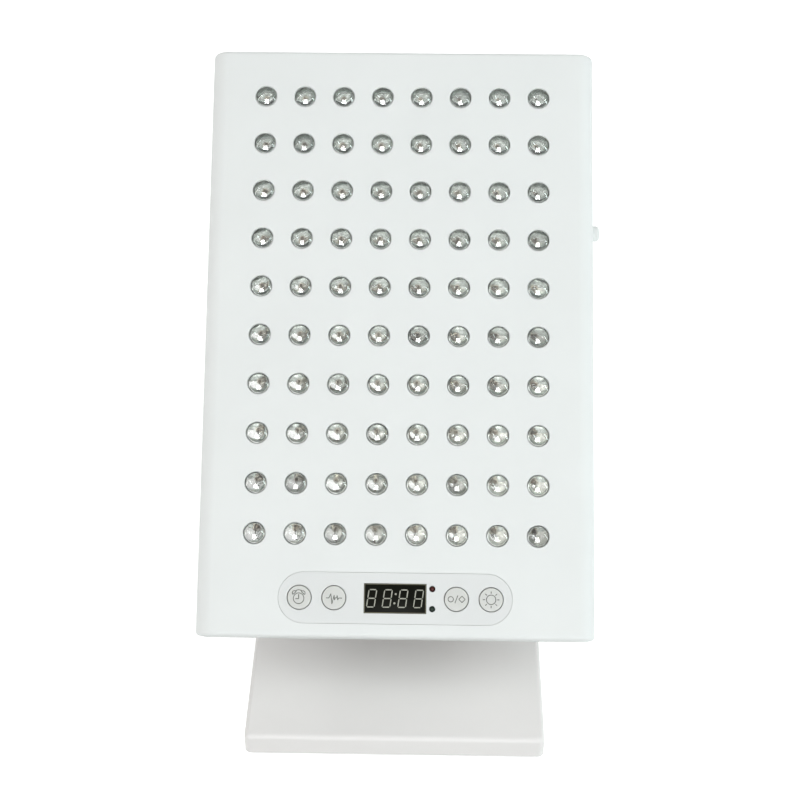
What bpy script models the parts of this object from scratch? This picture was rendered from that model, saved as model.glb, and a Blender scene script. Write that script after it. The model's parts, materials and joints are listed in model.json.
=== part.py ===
"""Tabletop LED light panel on a tilting stand. Metres, +Z up, the front towards -Y.

The origin is the middle of the underside of the stand's non-slip pad, on the table. The panel's
pieces are drawn in the panel's own frame: x to the right, y into the panel from its front face,
and z up its length from its lower edge. An empty on the tilt axis carries that frame, leaned
back by RECLINE, so the whole panel turns about the hinge pin.
"""

import math

import bmesh
import bpy
from mathutils import Vector

MM = 0.001
GAP = 0.35 * MM  # kept between pieces that touch
OVER = 1 * MM  # how far a cutter runs past what it cuts
SMALL = 6  # sides of a small round, such as a screw
SMOOTH_BELOW = math.radians(35)

# Panel: a front moulding with rounded long edges, and a rear tray that closes it
PANEL_W = 196.5 * MM
PANEL_H = 300 * MM
PANEL_T = 38 * MM
WALL = 2.2 * MM
PARTING = 24 * MM  # depth of the seam between the two mouldings
FRONT_EDGE_R = 8 * MM
REAR_EDGE_R = 6 * MM
END_EDGE_R = 2.2 * MM
EDGE_STEPS = 5
END_EDGE_STEPS = 2
LIP_DEPTH = 3.5 * MM
LIP_WALL = 1.2 * MM
BOSS_X = 86 * MM
BOSS_INSET = 12 * MM
BOSS_R = 4 * MM
BOSS_DRILL_Y = PARTING - 8 * MM  # where the bosses' screw holes end
COVER_SEAT = 1 * MM  # how deep the cover's screw heads sit in it
COVER_SCREW_TIP = PARTING - 6 * MM
SCREW_R = 1.45 * MM
SCREW_HEAD_R = 2.8 * MM
SCREW_HEAD_T = 1.6 * MM

# Lamps: ten rows of eight lenses
ROWS = 10
COLUMNS = 8
PITCH_X = 20 * MM
PITCH_Z = 25 * MM
GRID_Z = 163 * MM  # middle of the lamp field above the lower edge
LENS_HOLE_R = 5.5 * MM
LENS_HOLE_SIDES = 8
LENS_R = 5.1 * MM
LENS_SIDES = 8
LENS_RISE = 1.8 * MM
LENS_RIM = 0.2 * MM  # how far the dome's rim stands out of the face
STRIP_Y = 7 * MM
STRIP_T = 1.6 * MM
STRIP_W = 152 * MM
STRIP_H = 12 * MM

# Heat sink behind the lamps
SINK_W = 160 * MM
SINK_LOW_Z = 44 * MM
SINK_HIGH_Z = 284 * MM
SINK_PLATE_T = 3 * MM
SINK_TIP_Y = 20 * MM
FIN_COUNT = 12
FIN_T = 1.3 * MM

# Fan, behind the heat sink
FAN_Z = 158 * MM
FAN_SIDE = 60 * MM
FAN_CORNER_R = 4 * MM
FAN_T = 10 * MM
FAN_BORE_R = 28.5 * MM
FAN_HUB_R = 12 * MM
BLADE_COUNT = 7
BLADE_TIP_R = 27.4 * MM
BLADE_T = 0.9 * MM
BLADE_SWEEP = 30  # degrees between a blade's front and rear edges
BLADE_LEAN = 12  # degrees that a blade leans forward towards its tip
STRUT_W = 3 * MM
STRUT_T = 1.5 * MM

# Air openings in the rear cover: a grille over the fan, and level slots above and below it
GRILLE_RADII = (7 * MM, 13.5 * MM, 20 * MM)
GRILLE_SLOT_W = 4 * MM
GRILLE_SPOKE = 2.8 * MM
VENT_MIDDLES = (86 * MM, -66 * MM)  # from the fan's centre
VENT_LEVELS = 4
VENT_PITCH = 8 * MM
VENT_W = 64 * MM
VENT_H = 3 * MM
VENT_CORNER_R = 1 * MM

# Controls: a pill-shaped insert with four keys, a clock display and two indicators
CONTROL_Z = 19.2 * MM
PILL_W = 115 * MM
PILL_H = 25.2 * MM
PILL_STEPS = 5
INSERT_Y = 0.1 * MM
FLANGE_OUT = 1.8 * MM
FLANGE_T = 1.1 * MM
KEY_HOLE_R = 6.15 * MM
KEY_R = 5.75 * MM
KEY_SIDES = 12
KEY_PROUD = 0.4 * MM
KEY_FOOT_OUT = 0.9 * MM  # the foot behind the flange, wider than the key
KEY_FOOT_T = 0.7 * MM
KEY_INNER_X = 30 * MM
KEY_PITCH = 17 * MM
DISPLAY_W = 30.2 * MM
DISPLAY_H = 14.2 * MM
DISPLAY_T = 7.6 * MM
DISPLAY_Y = 0.3 * MM
INDICATOR_X = 18.2 * MM
INDICATOR_UP = 4.9 * MM
INDICATOR_R = 1.35 * MM
BOARD_Y = 8.6 * MM
BOARD_T = 1.6 * MM
BOARD_W = 124 * MM
BOARD_LOW = CONTROL_Z - 14 * MM
BOARD_HIGH = CONTROL_Z + 15 * MM
PART_SINK = 0.4 * MM  # how far a board's parts reach into it

# Lamp driver board, beside the fan
DRIVER_Y = 30 * MM
DRIVER_X = (-74 * MM, -34 * MM)
DRIVER_Z = (200 * MM, 272 * MM)

# Power button in the right side wall
BUTTON_Y = 15 * MM
BUTTON_Z = 208.1 * MM
BUTTON_R = 4 * MM
BUTTON_PROUD = 3.9 * MM
BUTTON_TRAVEL = 2 * MM
BUTTON_EDGE = 1.6 * MM
BUTTON_FOOT_OUT = 0.9 * MM
BUTTON_FOOT_T = 1.4 * MM

# Power inlet in the rear
INLET_X = 62 * MM
INLET_Z = 24 * MM
INLET_R = 4.9 * MM
INLET_BORE_R = 2.8 * MM
INLET_BORE_DEPTH = 9.5 * MM
INLET_LENGTH = 14 * MM
INLET_PIN_R = 1 * MM

# Tilt hinge
RECLINE = math.radians(48)
AXIS_UP = 32 * MM  # tilt axis above the panel's lower edge
AXIS_DEPTH = 52 * MM  # tilt axis behind the panel's front face
AXIS_Y = -16.7 * MM  # tilt axis over the base
AXIS_Z = 47.1 * MM
BARREL_R = 9.5 * MM
BARREL_HALF = 15.3 * MM
NECK_FLARE = 2.5 * MM  # how much wider than the barrel the neck is at the plate
EAR_INNER = 17 * MM
EAR_OUTER = 31 * MM
PIN_R = 3 * MM
PIN_SIDES = 12
BRACKET_T = 3 * MM
BRACKET_LOW = 9 * MM
BRACKET_HIGH = 60 * MM
BRACKET_HALF = 30 * MM
BRACKET_CORNER_R = 5 * MM
BRACKET_SCREW_X = 23 * MM
BRACKET_SCREW_Z = (16 * MM, 53 * MM)
BRACKET_SCREW_TIP = PANEL_T - 8 * MM
COVER_BOSS_R = 3.6 * MM
CAP_T = 2 * MM
CAP_EDGE = 0.8 * MM

# Base
BASE_W = 150 * MM
BASE_D = 190 * MM
BASE_TOP = 13 * MM
BASE_LOW = 1 * MM
BASE_CORNER_R = 3 * MM
BASE_EDGE_R = 2.5 * MM
BASE_WALL = 2.5 * MM
BASE_ROOF_Z = BASE_TOP - 3.5 * MM  # underside of the shell's top wall
PAD_T = 0.9 * MM
COVER_LOW = PAD_T + GAP
COVER_T = 2 * MM
COVER_SEAT_DEPTH = 0.9 * MM
BALLAST_T = 5 * MM
BALLAST_W = 124 * MM
BALLAST_D = 164 * MM
PAD_W = 140 * MM
PAD_D = 180 * MM
PAD_CORNER_R = 6 * MM
FOOT_FRONT = -24 * MM
FOOT_REAR = 24 * MM
FOOT_T = 6 * MM
FOOT_FILLET_R = 11 * MM
CORE_W = 13 * MM  # pockets that lighten the post from behind
CORE_PITCH = 17 * MM
FOOT_SCREW_X = 22 * MM
FOOT_SCREW_Y = (-14 * MM, 14 * MM)
COVER_SCREW_X = 66 * MM
COVER_SCREW_Y = 86 * MM


def clear_scene():
    """Removes whatever the file holds."""
    for obj in list(bpy.data.objects):
        bpy.data.objects.remove(obj)


def make_material(name, colour, roughness, metallic=0.0):
    """A Principled material of one colour."""
    material = bpy.data.materials.new(name)
    material.use_nodes = True
    shader = material.node_tree.nodes["Principled BSDF"]
    shader.inputs["Base Color"].default_value = (*colour, 1.0)
    shader.inputs["Roughness"].default_value = roughness
    shader.inputs["Metallic"].default_value = metallic
    return material


def make_materials():
    """The finishes, by name."""
    finishes = {
        "white_housing": ((0.82, 0.83, 0.82), 0.35, 0.0),
        "white_insert": ((0.83, 0.85, 0.84), 0.2, 0.0),
        "key_cap": ((0.70, 0.71, 0.67), 0.4, 0.0),
        "display_black": ((0.01, 0.01, 0.01), 0.2, 0.0),
        "indicator": ((0.12, 0.02, 0.02), 0.2, 0.0),
        "lamp": ((0.62, 0.62, 0.60), 0.1, 0.0),
        "circuit_board": ((0.03, 0.16, 0.08), 0.5, 0.0),
        "aluminium": ((0.75, 0.75, 0.76), 0.4, 1.0),
        "steel": ((0.55, 0.55, 0.56), 0.35, 1.0),
        "black_plastic": ((0.02, 0.02, 0.02), 0.5, 0.0),
        "lead_jacket": ((0.03, 0.03, 0.03), 0.6, 0.0),
        "rubber": ((0.05, 0.05, 0.05), 0.9, 0.0),
    }
    return {name: make_material(name, *finish) for name, finish in finishes.items()}


def add_empty(name, parent=None, location=(0, 0, 0), lean=0.0):
    """An empty that carries a frame, turned about x by lean."""
    empty = bpy.data.objects.new(name, None)
    empty.empty_display_size = 0.02
    bpy.context.scene.collection.objects.link(empty)
    empty.parent = parent
    empty.location = location
    empty.rotation_euler.x = lean
    return empty


def add_object(name, bm, frame, material, location=(0, 0, 0)):
    """Makes the mesh an object in its frame, shaded smooth between sharp edges."""
    bmesh.ops.recalc_face_normals(bm, faces=bm.faces)
    mesh = bpy.data.meshes.new(name)
    bm.to_mesh(mesh)
    bm.free()
    mesh.shade_smooth()
    mesh.set_sharp_from_angle(angle=SMOOTH_BELOW)
    if material:
        mesh.materials.append(material)
    obj = bpy.data.objects.new(name, mesh)
    bpy.context.scene.collection.objects.link(obj)
    obj.parent = frame
    obj.location = location
    return obj


def add_helper(name, bm, frame, location=(0, 0, 0)):
    """A shape that only cuts or joins another."""
    helper = add_object(name, bm, frame, None, location)
    helper.hide_render = True
    helper.display_type = "WIRE"
    return helper


def boolean(obj, helper, operation="DIFFERENCE"):
    """Cuts the helper from the object, or joins it on."""
    modifier = obj.modifiers.new(operation.title(), "BOOLEAN")
    modifier.operation = operation
    modifier.solver = "EXACT"
    modifier.object = helper


def place(axis, a, b, along):
    """The point at (a, b) across the axis and at a distance along it."""
    if axis == "x":
        return Vector((along, a, b))
    if axis == "y":
        return Vector((a, along, b))
    return Vector((a, b, along))


def arc(centre, radius, start, end, steps):
    """Points on an arc from one angle to another in degrees, both ends included."""
    angles = (math.radians(start + (end - start) * i / steps) for i in range(steps + 1))
    return [(centre[0] + radius * math.cos(t), centre[1] + radius * math.sin(t)) for t in angles]


def circle(centre, radius, sides):
    """A closed outline of this many sides."""
    return arc(centre, radius, 0, 360, sides)[:-1]


def rounded_rectangle(width, height, radius, steps, centre=(0, 0)):
    """A rectangle's outline with its corners rounded."""
    across = width / 2 - radius
    up = height / 2 - radius
    points = []
    for sign_a, sign_b, start in ((1, 1, 0), (-1, 1, 90), (-1, -1, 180), (1, -1, 270)):
        corner = (centre[0] + sign_a * across, centre[1] + sign_b * up)
        points += arc(corner, radius, start, start + 90, steps)
    merged = [p for i, p in enumerate(points) if math.dist(p, points[i - 1]) > 1e-7]
    return merged


def add_prism(bm, outline, axis, low, high):
    """Adds the outline, pulled along the axis from low to high."""
    first = [bm.verts.new(place(axis, a, b, low)) for a, b in outline]
    last = [bm.verts.new(place(axis, a, b, high)) for a, b in outline]
    bm.faces.new(first)
    bm.faces.new(last[::-1])
    for i, corner in enumerate(first):
        bm.faces.new((first[i - 1], corner, last[i], last[i - 1]))


def add_box(bm, x, y, z):
    """Adds a box between the low and high of each axis."""
    outline = [(x[0], y[0]), (x[1], y[0]), (x[1], y[1]), (x[0], y[1])]
    add_prism(bm, outline, "z", *z)


def add_turned(bm, profile, axis, centre, sides):
    """Adds a solid turned about the axis, from (radius, distance along) pairs."""
    rings = []
    for radius, along in profile:
        spots = [centre] if radius == 0 else circle(centre, radius, sides)
        rings.append([bm.verts.new(place(axis, a, b, along)) for a, b in spots])
    for lower, upper in zip(rings, rings[1:]):
        for i in range(sides):
            quad = (lower[i - 1 if len(lower) > 1 else 0], lower[i if len(lower) > 1 else 0])
            quad += (upper[i if len(upper) > 1 else 0], upper[i - 1 if len(upper) > 1 else 0])
            bm.faces.new(dict.fromkeys(quad))
    for ring in (rings[0], rings[-1]):
        if len(ring) > 1:
            bm.faces.new(ring)


def add_cylinder(bm, radius, axis, centre, low, high, sides=SMALL):
    """Adds a plain cylinder."""
    add_turned(bm, [(radius, low), (radius, high)], axis, centre, sides)


def bevel_where(bm, width, segments, wanted):
    """Rounds the edges that the test wants."""
    edges = [e for e in bm.edges if wanted(e.verts[0].co, e.verts[1].co)]
    bmesh.ops.bevel(
        bm, geom=edges, offset=width, segments=segments, profile=0.5, affect="EDGES"
    )


def panel_section(half, near, far, radius):
    """The panel's cross-section: square at far, its two corners at near rounded."""
    inwards = 1 if far > near else -1
    left = arc((-half + radius, 0), radius, 180, 270, EDGE_STEPS)
    right = arc((half - radius, 0), radius, 270, 360, EDGE_STEPS)
    rounded = [(x, near + inwards * (radius + y)) for x, y in left + right]
    return rounded + [(half, far), (-half, far)]


def panel_shell(name, near, far, radius, frame, material):
    """A tray with rounded long edges and softened ends, open at far, and its hollow cut."""
    bm = bmesh.new()
    add_prism(bm, panel_section(PANEL_W / 2, near, far, radius), "z", 0, PANEL_H)

    def end_edge(p, q):
        at_end = abs(p.z - q.z) < 1e-6 and min(p.z, PANEL_H - p.z) < 1e-6
        return at_end and not (abs(p.y - far) < 1e-6 and abs(q.y - far) < 1e-6)

    bevel_where(bm, END_EDGE_R, END_EDGE_STEPS, end_edge)
    shell = add_object(name, bm, frame, material)
    inwards = 1 if far > near else -1
    inner = near + inwards * WALL
    bm = bmesh.new()
    hollow = panel_section(PANEL_W / 2 - WALL, inner, far + inwards * OVER, radius - WALL)
    add_prism(bm, hollow, "z", WALL, PANEL_H - WALL)
    boolean(shell, add_helper(name + "_hollow", bm, frame))
    return shell


def boss_places():
    """The four corners where the two mouldings are screwed together."""
    return [
        (x, z) for x in (-BOSS_X, BOSS_X) for z in (BOSS_INSET, PANEL_H - BOSS_INSET)
    ]


def lamp_x(column):
    """A lamp column's place across the panel."""
    return (column - (COLUMNS - 1) / 2) * PITCH_X


def lamp_z(row):
    """A lamp row's height up the panel, counted from the top row."""
    return GRID_Z + ((ROWS - 1) / 2 - row) * PITCH_Z


def key_places():
    """The keys' names and places across the panel."""
    outer = KEY_INNER_X + KEY_PITCH
    return {
        "key_timer": -outer,
        "key_pulse": -KEY_INNER_X,
        "key_mode": KEY_INNER_X,
        "key_brightness": outer,
    }


def make_front_housing(frame, materials):
    """The white front moulding, with its lens holes, control opening and screw bosses."""
    housing = panel_shell(
        "front_housing", 0, PARTING, FRONT_EDGE_R, frame, materials["white_housing"]
    )
    bm = bmesh.new()
    for x, z in boss_places():
        add_cylinder(bm, BOSS_R, "y", (x, z), WALL / 2, PANEL_T - WALL - GAP)
    boolean(housing, add_helper("front_bosses", bm, frame), "UNION")
    bm = bmesh.new()
    for row in range(ROWS):
        for column in range(COLUMNS):
            middle = (lamp_x(column), lamp_z(row))
            add_cylinder(bm, LENS_HOLE_R, "y", middle, -OVER, WALL + OVER, LENS_HOLE_SIDES)
    pill = rounded_rectangle(PILL_W, PILL_H, PILL_H / 2, PILL_STEPS, (0, CONTROL_Z))
    add_prism(bm, pill, "y", -OVER, WALL + OVER)
    wall_x = PANEL_W / 2
    button = (BUTTON_Y, BUTTON_Z)
    add_cylinder(bm, BUTTON_R + GAP, "x", button, wall_x - 2 * WALL, wall_x + OVER, 16)
    for x, z in boss_places():
        add_cylinder(bm, SCREW_R + GAP, "y", (x, z), BOSS_DRILL_Y, PANEL_T)
    boolean(housing, add_helper("front_openings", bm, frame))


def grille_openings(bm):
    """The fan grille: rings of arched slots, left joined by four spokes."""
    low = PANEL_T - 2 * WALL
    high = PANEL_T + OVER
    for inner in GRILLE_RADII:
        outer = inner + GRILLE_SLOT_W
        trim = math.degrees(GRILLE_SPOKE / (inner + outer))
        for quarter in range(4):
            start = 45 + 90 * quarter + trim
            end = 45 + 90 * (quarter + 1) - trim
            slot = arc((0, FAN_Z), outer, start, end, 4)
            slot += arc((0, FAN_Z), inner, end, start, 4)
            add_prism(bm, slot, "y", low, high)


def vent_openings(bm):
    """The air inlets: two blocks of level slots above and below the fan."""
    for middle in VENT_MIDDLES:
        for level in range(VENT_LEVELS):
            z = FAN_Z + middle + (level - (VENT_LEVELS - 1) / 2) * VENT_PITCH
            slot = rounded_rectangle(VENT_W, VENT_H, VENT_CORNER_R, 1, (0, z))
            add_prism(bm, slot, "y", PANEL_T - 2 * WALL, PANEL_T + OVER)


def make_rear_cover(frame, materials):
    """The rear tray, with its seating lip, fan grille, vents and screw seats."""
    near = PARTING + GAP
    cover = panel_shell(
        "rear_cover", PANEL_T, near, REAR_EDGE_R, frame, materials["white_housing"]
    )
    half = PANEL_W / 2 - WALL - GAP
    ends = (WALL + GAP, PANEL_H - WALL - GAP)
    step = GAP + WALL / 2  # out to the middle of the cover's wall, which the lip's root joins
    bm = bmesh.new()
    add_box(bm, (-half, half), (near - LIP_DEPTH, near + 2 * MM), ends)
    lip = add_helper("cover_lip", bm, frame)
    bm = bmesh.new()
    wide = (-half - step, half + step)
    add_box(bm, wide, (near + MM, near + 3 * MM), (ends[0] - step, ends[1] + step))
    boolean(lip, add_helper("cover_lip_root", bm, frame), "UNION")
    bm = bmesh.new()
    inner = (-half + LIP_WALL, half - LIP_WALL)
    inner_ends = (ends[0] + LIP_WALL, ends[1] - LIP_WALL)
    add_box(bm, inner, (near - 2 * LIP_DEPTH, near + 2 * LIP_DEPTH), inner_ends)
    boolean(lip, add_helper("cover_lip_hollow", bm, frame))
    boolean(cover, lip, "UNION")
    bm = bmesh.new()
    for x in (-BRACKET_SCREW_X, BRACKET_SCREW_X):
        for z in BRACKET_SCREW_Z:
            add_cylinder(bm, COVER_BOSS_R, "y", (x, z), BRACKET_SCREW_TIP - MM, PANEL_T - WALL / 2)
    boolean(cover, add_helper("cover_bosses", bm, frame), "UNION")
    bm = bmesh.new()
    for x, z in boss_places():
        profile = [
            (SCREW_R + GAP, PANEL_T - 2 * WALL),
            (SCREW_R + GAP, PANEL_T - COVER_SEAT),
            (SCREW_HEAD_R + 2 * GAP, PANEL_T - COVER_SEAT),
            (SCREW_HEAD_R + 2 * GAP, PANEL_T + OVER),
        ]
        add_turned(bm, profile, "y", (x, z), SMALL)
    for x in (-BRACKET_SCREW_X, BRACKET_SCREW_X):
        for z in BRACKET_SCREW_Z:
            low = BRACKET_SCREW_TIP - 2 * MM
            add_cylinder(bm, SCREW_R + GAP, "y", (x, z), low, PANEL_T + OVER)
    inlet = (INLET_X, INLET_Z)
    add_cylinder(bm, INLET_R + GAP, "y", inlet, PANEL_T - 2 * WALL, PANEL_T + OVER, 12)
    grille_openings(bm)
    vent_openings(bm)
    boolean(cover, add_helper("cover_openings", bm, frame))


def make_lamp_strips(frame, materials):
    """Ten strips, each a narrow aluminium-backed board with eight lens-capped LEDs on it."""
    bm = bmesh.new()
    add_box(
        bm,
        (-STRIP_W / 2, STRIP_W / 2),
        (STRIP_Y, STRIP_Y + STRIP_T),
        (-STRIP_H / 2, STRIP_H / 2),
    )
    pattern = add_object("strip_pattern", bm, frame, materials["lamp"])
    shoulder = 0.72  # share of the radius and of the rise where the dome's slope changes
    profile = [
        (LENS_R, STRIP_Y + STRIP_T / 3),
        (LENS_R, -LENS_RIM),
        (shoulder * LENS_R, -shoulder * LENS_RISE),
        (0, -LENS_RISE),
    ]
    bm = bmesh.new()
    for column in range(COLUMNS):
        add_turned(bm, profile, "y", (lamp_x(column), 0), LENS_SIDES)
    lenses = add_helper("strip_lenses", bm, frame)
    boolean(pattern, lenses, "UNION")
    graph = bpy.context.evaluated_depsgraph_get()
    mesh = bpy.data.meshes.new_from_object(pattern.evaluated_get(graph))
    bpy.data.objects.remove(pattern)
    bpy.data.objects.remove(lenses)
    for row in range(ROWS):
        strip = bpy.data.objects.new(f"lamp_strip_{row + 1:02d}", mesh)
        bpy.context.scene.collection.objects.link(strip)
        strip.parent = frame
        strip.location.z = lamp_z(row)


def make_heat_sink(frame, materials):
    """The extruded aluminium heat sink that the strips are screwed to."""
    near = STRIP_Y + STRIP_T + GAP
    root = near + SINK_PLATE_T
    half = SINK_W / 2
    outline = [(-half, near), (half, near)]
    spacing = (SINK_W - FIN_T) / (FIN_COUNT - 1)
    for fin in range(FIN_COUNT):
        right = half - fin * spacing
        outline += [(right, SINK_TIP_Y), (right - FIN_T, SINK_TIP_Y)]
        if fin < FIN_COUNT - 1:
            outline += [(right - FIN_T, root), (right - spacing, root)]
    bm = bmesh.new()
    add_prism(bm, outline, "z", SINK_LOW_Z, SINK_HIGH_Z)
    add_object("heat_sink", bm, frame, materials["aluminium"])


def make_fan(frame, materials):
    """The cooling fan: its square frame with motor seat and struts, and its bladed rotor."""
    far = PANEL_T - WALL - GAP
    near = far - FAN_T
    half = FAN_SIDE / 2
    centre = (0, FAN_Z)
    bm = bmesh.new()
    square = rounded_rectangle(FAN_SIDE, FAN_SIDE, FAN_CORNER_R, 2, centre)
    add_prism(bm, square, "y", near, far)
    fan_frame = add_object("fan_frame", bm, frame, materials["black_plastic"])
    bm = bmesh.new()
    add_cylinder(bm, FAN_BORE_R, "y", centre, near - OVER, far + OVER, 20)
    boolean(fan_frame, add_helper("fan_bore", bm, frame))
    reach = half - MM
    step = 0.1 * MM  # sets the struts' faces apart, so that no two coincide
    bm = bmesh.new()
    across = (-STRUT_W / 2, STRUT_W / 2)
    add_box(bm, across, (far - STRUT_T, far), (FAN_Z - reach, FAN_Z + reach))
    upright = add_helper("fan_upright_strut", bm, frame)
    bm = bmesh.new()
    level = (FAN_Z - STRUT_W / 2, FAN_Z + STRUT_W / 2)
    add_box(bm, (-reach, reach), (far - STRUT_T + step, far - step), level)
    crossing = add_helper("fan_level_strut", bm, frame)
    bm = bmesh.new()
    seat_near = far - STRUT_T - 2 * step
    add_cylinder(bm, FAN_HUB_R - MM, "y", centre, seat_near, far - 2 * step, 16)
    seat = add_helper("fan_motor_seat", bm, frame)
    for joined in (upright, crossing, seat):
        boolean(fan_frame, joined, "UNION")

    axle = add_empty("fan_axis", frame, (0, 0, FAN_Z))
    rear = seat_near - 2 * GAP
    bm = bmesh.new()
    profile = [
        (FAN_HUB_R - MM, near + 0.5 * MM),
        (FAN_HUB_R, near + 1.5 * MM),
        (FAN_HUB_R, rear),
    ]
    add_turned(bm, profile, "y", (0, 0), 16)
    rotor = add_object("fan_rotor", bm, axle, materials["black_plastic"])
    bm = bmesh.new()
    for blade in range(BLADE_COUNT):
        add_blade(bm, 360 / BLADE_COUNT * blade, near + MM, rear - 0.5 * MM)
    boolean(rotor, add_helper("fan_blades", bm, axle), "UNION")


def add_blade(bm, turn, front, rear):
    """Adds one fan blade: a plate that runs from front to rear across its width."""
    sections = []
    for radius in (FAN_HUB_R - 2 * MM, 0.6 * BLADE_TIP_R, BLADE_TIP_R):
        lean = BLADE_LEAN * (radius - FAN_HUB_R) / BLADE_TIP_R
        corners = []
        for share, shift in ((0, 0), (1, 0), (1, BLADE_T), (0, BLADE_T)):
            angle = math.radians(turn + lean + BLADE_SWEEP * (share - 0.5))
            y = front + (rear - BLADE_T - front) * share + shift
            spot = Vector((radius * math.cos(angle), y, radius * math.sin(angle)))
            corners.append(bm.verts.new(spot))
        sections.append(corners)
    for inner, outer in zip(sections, sections[1:]):
        for i in range(4):
            bm.faces.new((inner[i - 1], inner[i], outer[i], outer[i - 1]))
    bm.faces.new(sections[0])
    bm.faces.new(sections[-1][::-1])


def make_control_insert(frame, materials):
    """The pill-shaped insert, held from behind by its flange, with its key and display holes."""
    bm = bmesh.new()
    height = PILL_H - 2 * GAP
    face = rounded_rectangle(PILL_W - 2 * GAP, height, height / 2, PILL_STEPS, (0, CONTROL_Z))
    add_prism(bm, face, "y", INSERT_Y, WALL + 2 * GAP)
    insert = add_object("control_insert", bm, frame, materials["white_insert"])
    bm = bmesh.new()
    height = PILL_H + 2 * FLANGE_OUT
    width = PILL_W + 2 * FLANGE_OUT
    flange = rounded_rectangle(width, height, height / 2, PILL_STEPS, (0, CONTROL_Z))
    add_prism(bm, flange, "y", WALL + GAP, WALL + GAP + FLANGE_T)
    boolean(insert, add_helper("insert_flange", bm, frame), "UNION")
    bm = bmesh.new()
    for x in key_places().values():
        add_cylinder(bm, KEY_HOLE_R, "y", (x, CONTROL_Z), -OVER, 2 * WALL, KEY_SIDES)
    window = (DISPLAY_W / 2 + GAP, DISPLAY_H / 2 + GAP)
    add_box(
        bm,
        (-window[0], window[0]),
        (-OVER, 2 * WALL),
        (CONTROL_Z - window[1], CONTROL_Z + window[1]),
    )
    for up in (-INDICATOR_UP, INDICATOR_UP):
        centre = (INDICATOR_X, CONTROL_Z + up)
        add_cylinder(bm, INDICATOR_R + GAP, "y", centre, -OVER, 2 * WALL)
    boolean(insert, add_helper("insert_openings", bm, frame))


def make_keys(frame, materials):
    """Four round key caps, each with a foot that stops it behind the insert's flange."""
    stop = WALL + FLANGE_T + 2 * GAP
    edge = 0.2 * MM
    for name, x in key_places().items():
        axis = add_empty(name + "_axis", frame, (x, 0, CONTROL_Z))
        bm = bmesh.new()
        profile = [
            (KEY_R - 2 * edge, -KEY_PROUD),
            (KEY_R, edge - KEY_PROUD),
            (KEY_R, stop),
            (KEY_R + KEY_FOOT_OUT, stop),
            (KEY_R + KEY_FOOT_OUT, stop + KEY_FOOT_T),
        ]
        add_turned(bm, profile, "y", (0, 0), KEY_SIDES)
        add_object(name, bm, axis, materials["key_cap"])


def make_display(frame, materials):
    """The four-digit clock display module and the two round indicators."""
    bm = bmesh.new()
    add_box(
        bm,
        (-DISPLAY_W / 2, DISPLAY_W / 2),
        (DISPLAY_Y, DISPLAY_Y + DISPLAY_T),
        (CONTROL_Z - DISPLAY_H / 2, CONTROL_Z + DISPLAY_H / 2),
    )
    bevel_where(bm, 0.3 * MM, 1, lambda p, q: abs(p.x - q.x) + abs(p.z - q.z) < 1e-6)
    add_object("display_module", bm, frame, materials["display_black"])
    for name, up in (("indicator_upper", INDICATOR_UP), ("indicator_lower", -INDICATOR_UP)):
        bm = bmesh.new()
        profile = [
            (0.6 * INDICATOR_R, 0.15 * MM),
            (INDICATOR_R, 0.7 * MM),
            (INDICATOR_R, BOARD_Y - 2 * GAP),
        ]
        add_turned(bm, profile, "y", (0, 0), SMALL)
        place_at = (INDICATOR_X, 0, CONTROL_Z + up)
        add_object(name, bm, frame, materials["indicator"], place_at)


def add_part(bm, centre, width, height, near, far):
    """Adds a board's oblong part by the middle, width and height of its footprint."""
    x, z = centre
    add_box(bm, (x - width / 2, x + width / 2), (near, far), (z - height / 2, z + height / 2))


def make_control_board(frame, materials):
    """The board behind the controls, with its key switches, processor and sockets."""
    switch = 6 * MM
    switch_y = 5.6 * MM
    processor = (18 * MM, 12 * MM, 2.4 * MM)
    socket = (10 * MM, 6 * MM, 5 * MM)
    capacitor_r = 3 * MM
    capacitor_t = 8 * MM
    bm = bmesh.new()
    board_y = (BOARD_Y, BOARD_Y + BOARD_T)
    add_box(bm, (-BOARD_W / 2, BOARD_W / 2), board_y, (BOARD_LOW, BOARD_HIGH))
    board = add_object("control_board", bm, frame, materials["circuit_board"])
    bm = bmesh.new()
    for x in key_places().values():
        add_part(bm, (x, CONTROL_Z), switch, switch, switch_y, BOARD_Y + PART_SINK)
    rear = BOARD_Y + BOARD_T - PART_SINK
    width, height, thickness = processor
    add_part(bm, (0, BOARD_LOW + 14 * MM), width, height, rear, rear + thickness)
    width, height, thickness = socket
    for x in (-48 * MM, 48 * MM):
        add_part(bm, (x, BOARD_LOW + 6 * MM), width, height, rear, rear + thickness)
    at = (26 * MM, BOARD_LOW + 14 * MM)
    add_cylinder(bm, capacitor_r, "y", at, rear, rear + capacitor_t, 10)
    boolean(board, add_helper("control_parts", bm, frame), "UNION")


def make_buzzer(frame, materials):
    """The round buzzer on the control board's rear, with its sound hole."""
    radius = 5 * MM
    height = 6 * MM
    hole_r = 1.2 * MM
    rear = BOARD_Y + BOARD_T
    profile = [
        (radius, rear + GAP),
        (radius, rear + height),
        (hole_r, rear + height),
        (hole_r, rear + height - MM),
    ]
    bm = bmesh.new()
    add_turned(bm, profile, "y", (0, 0), 12)
    at = (-28 * MM, 0, BOARD_LOW + 15 * MM)
    add_object("buzzer", bm, frame, materials["black_plastic"], at)


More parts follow.
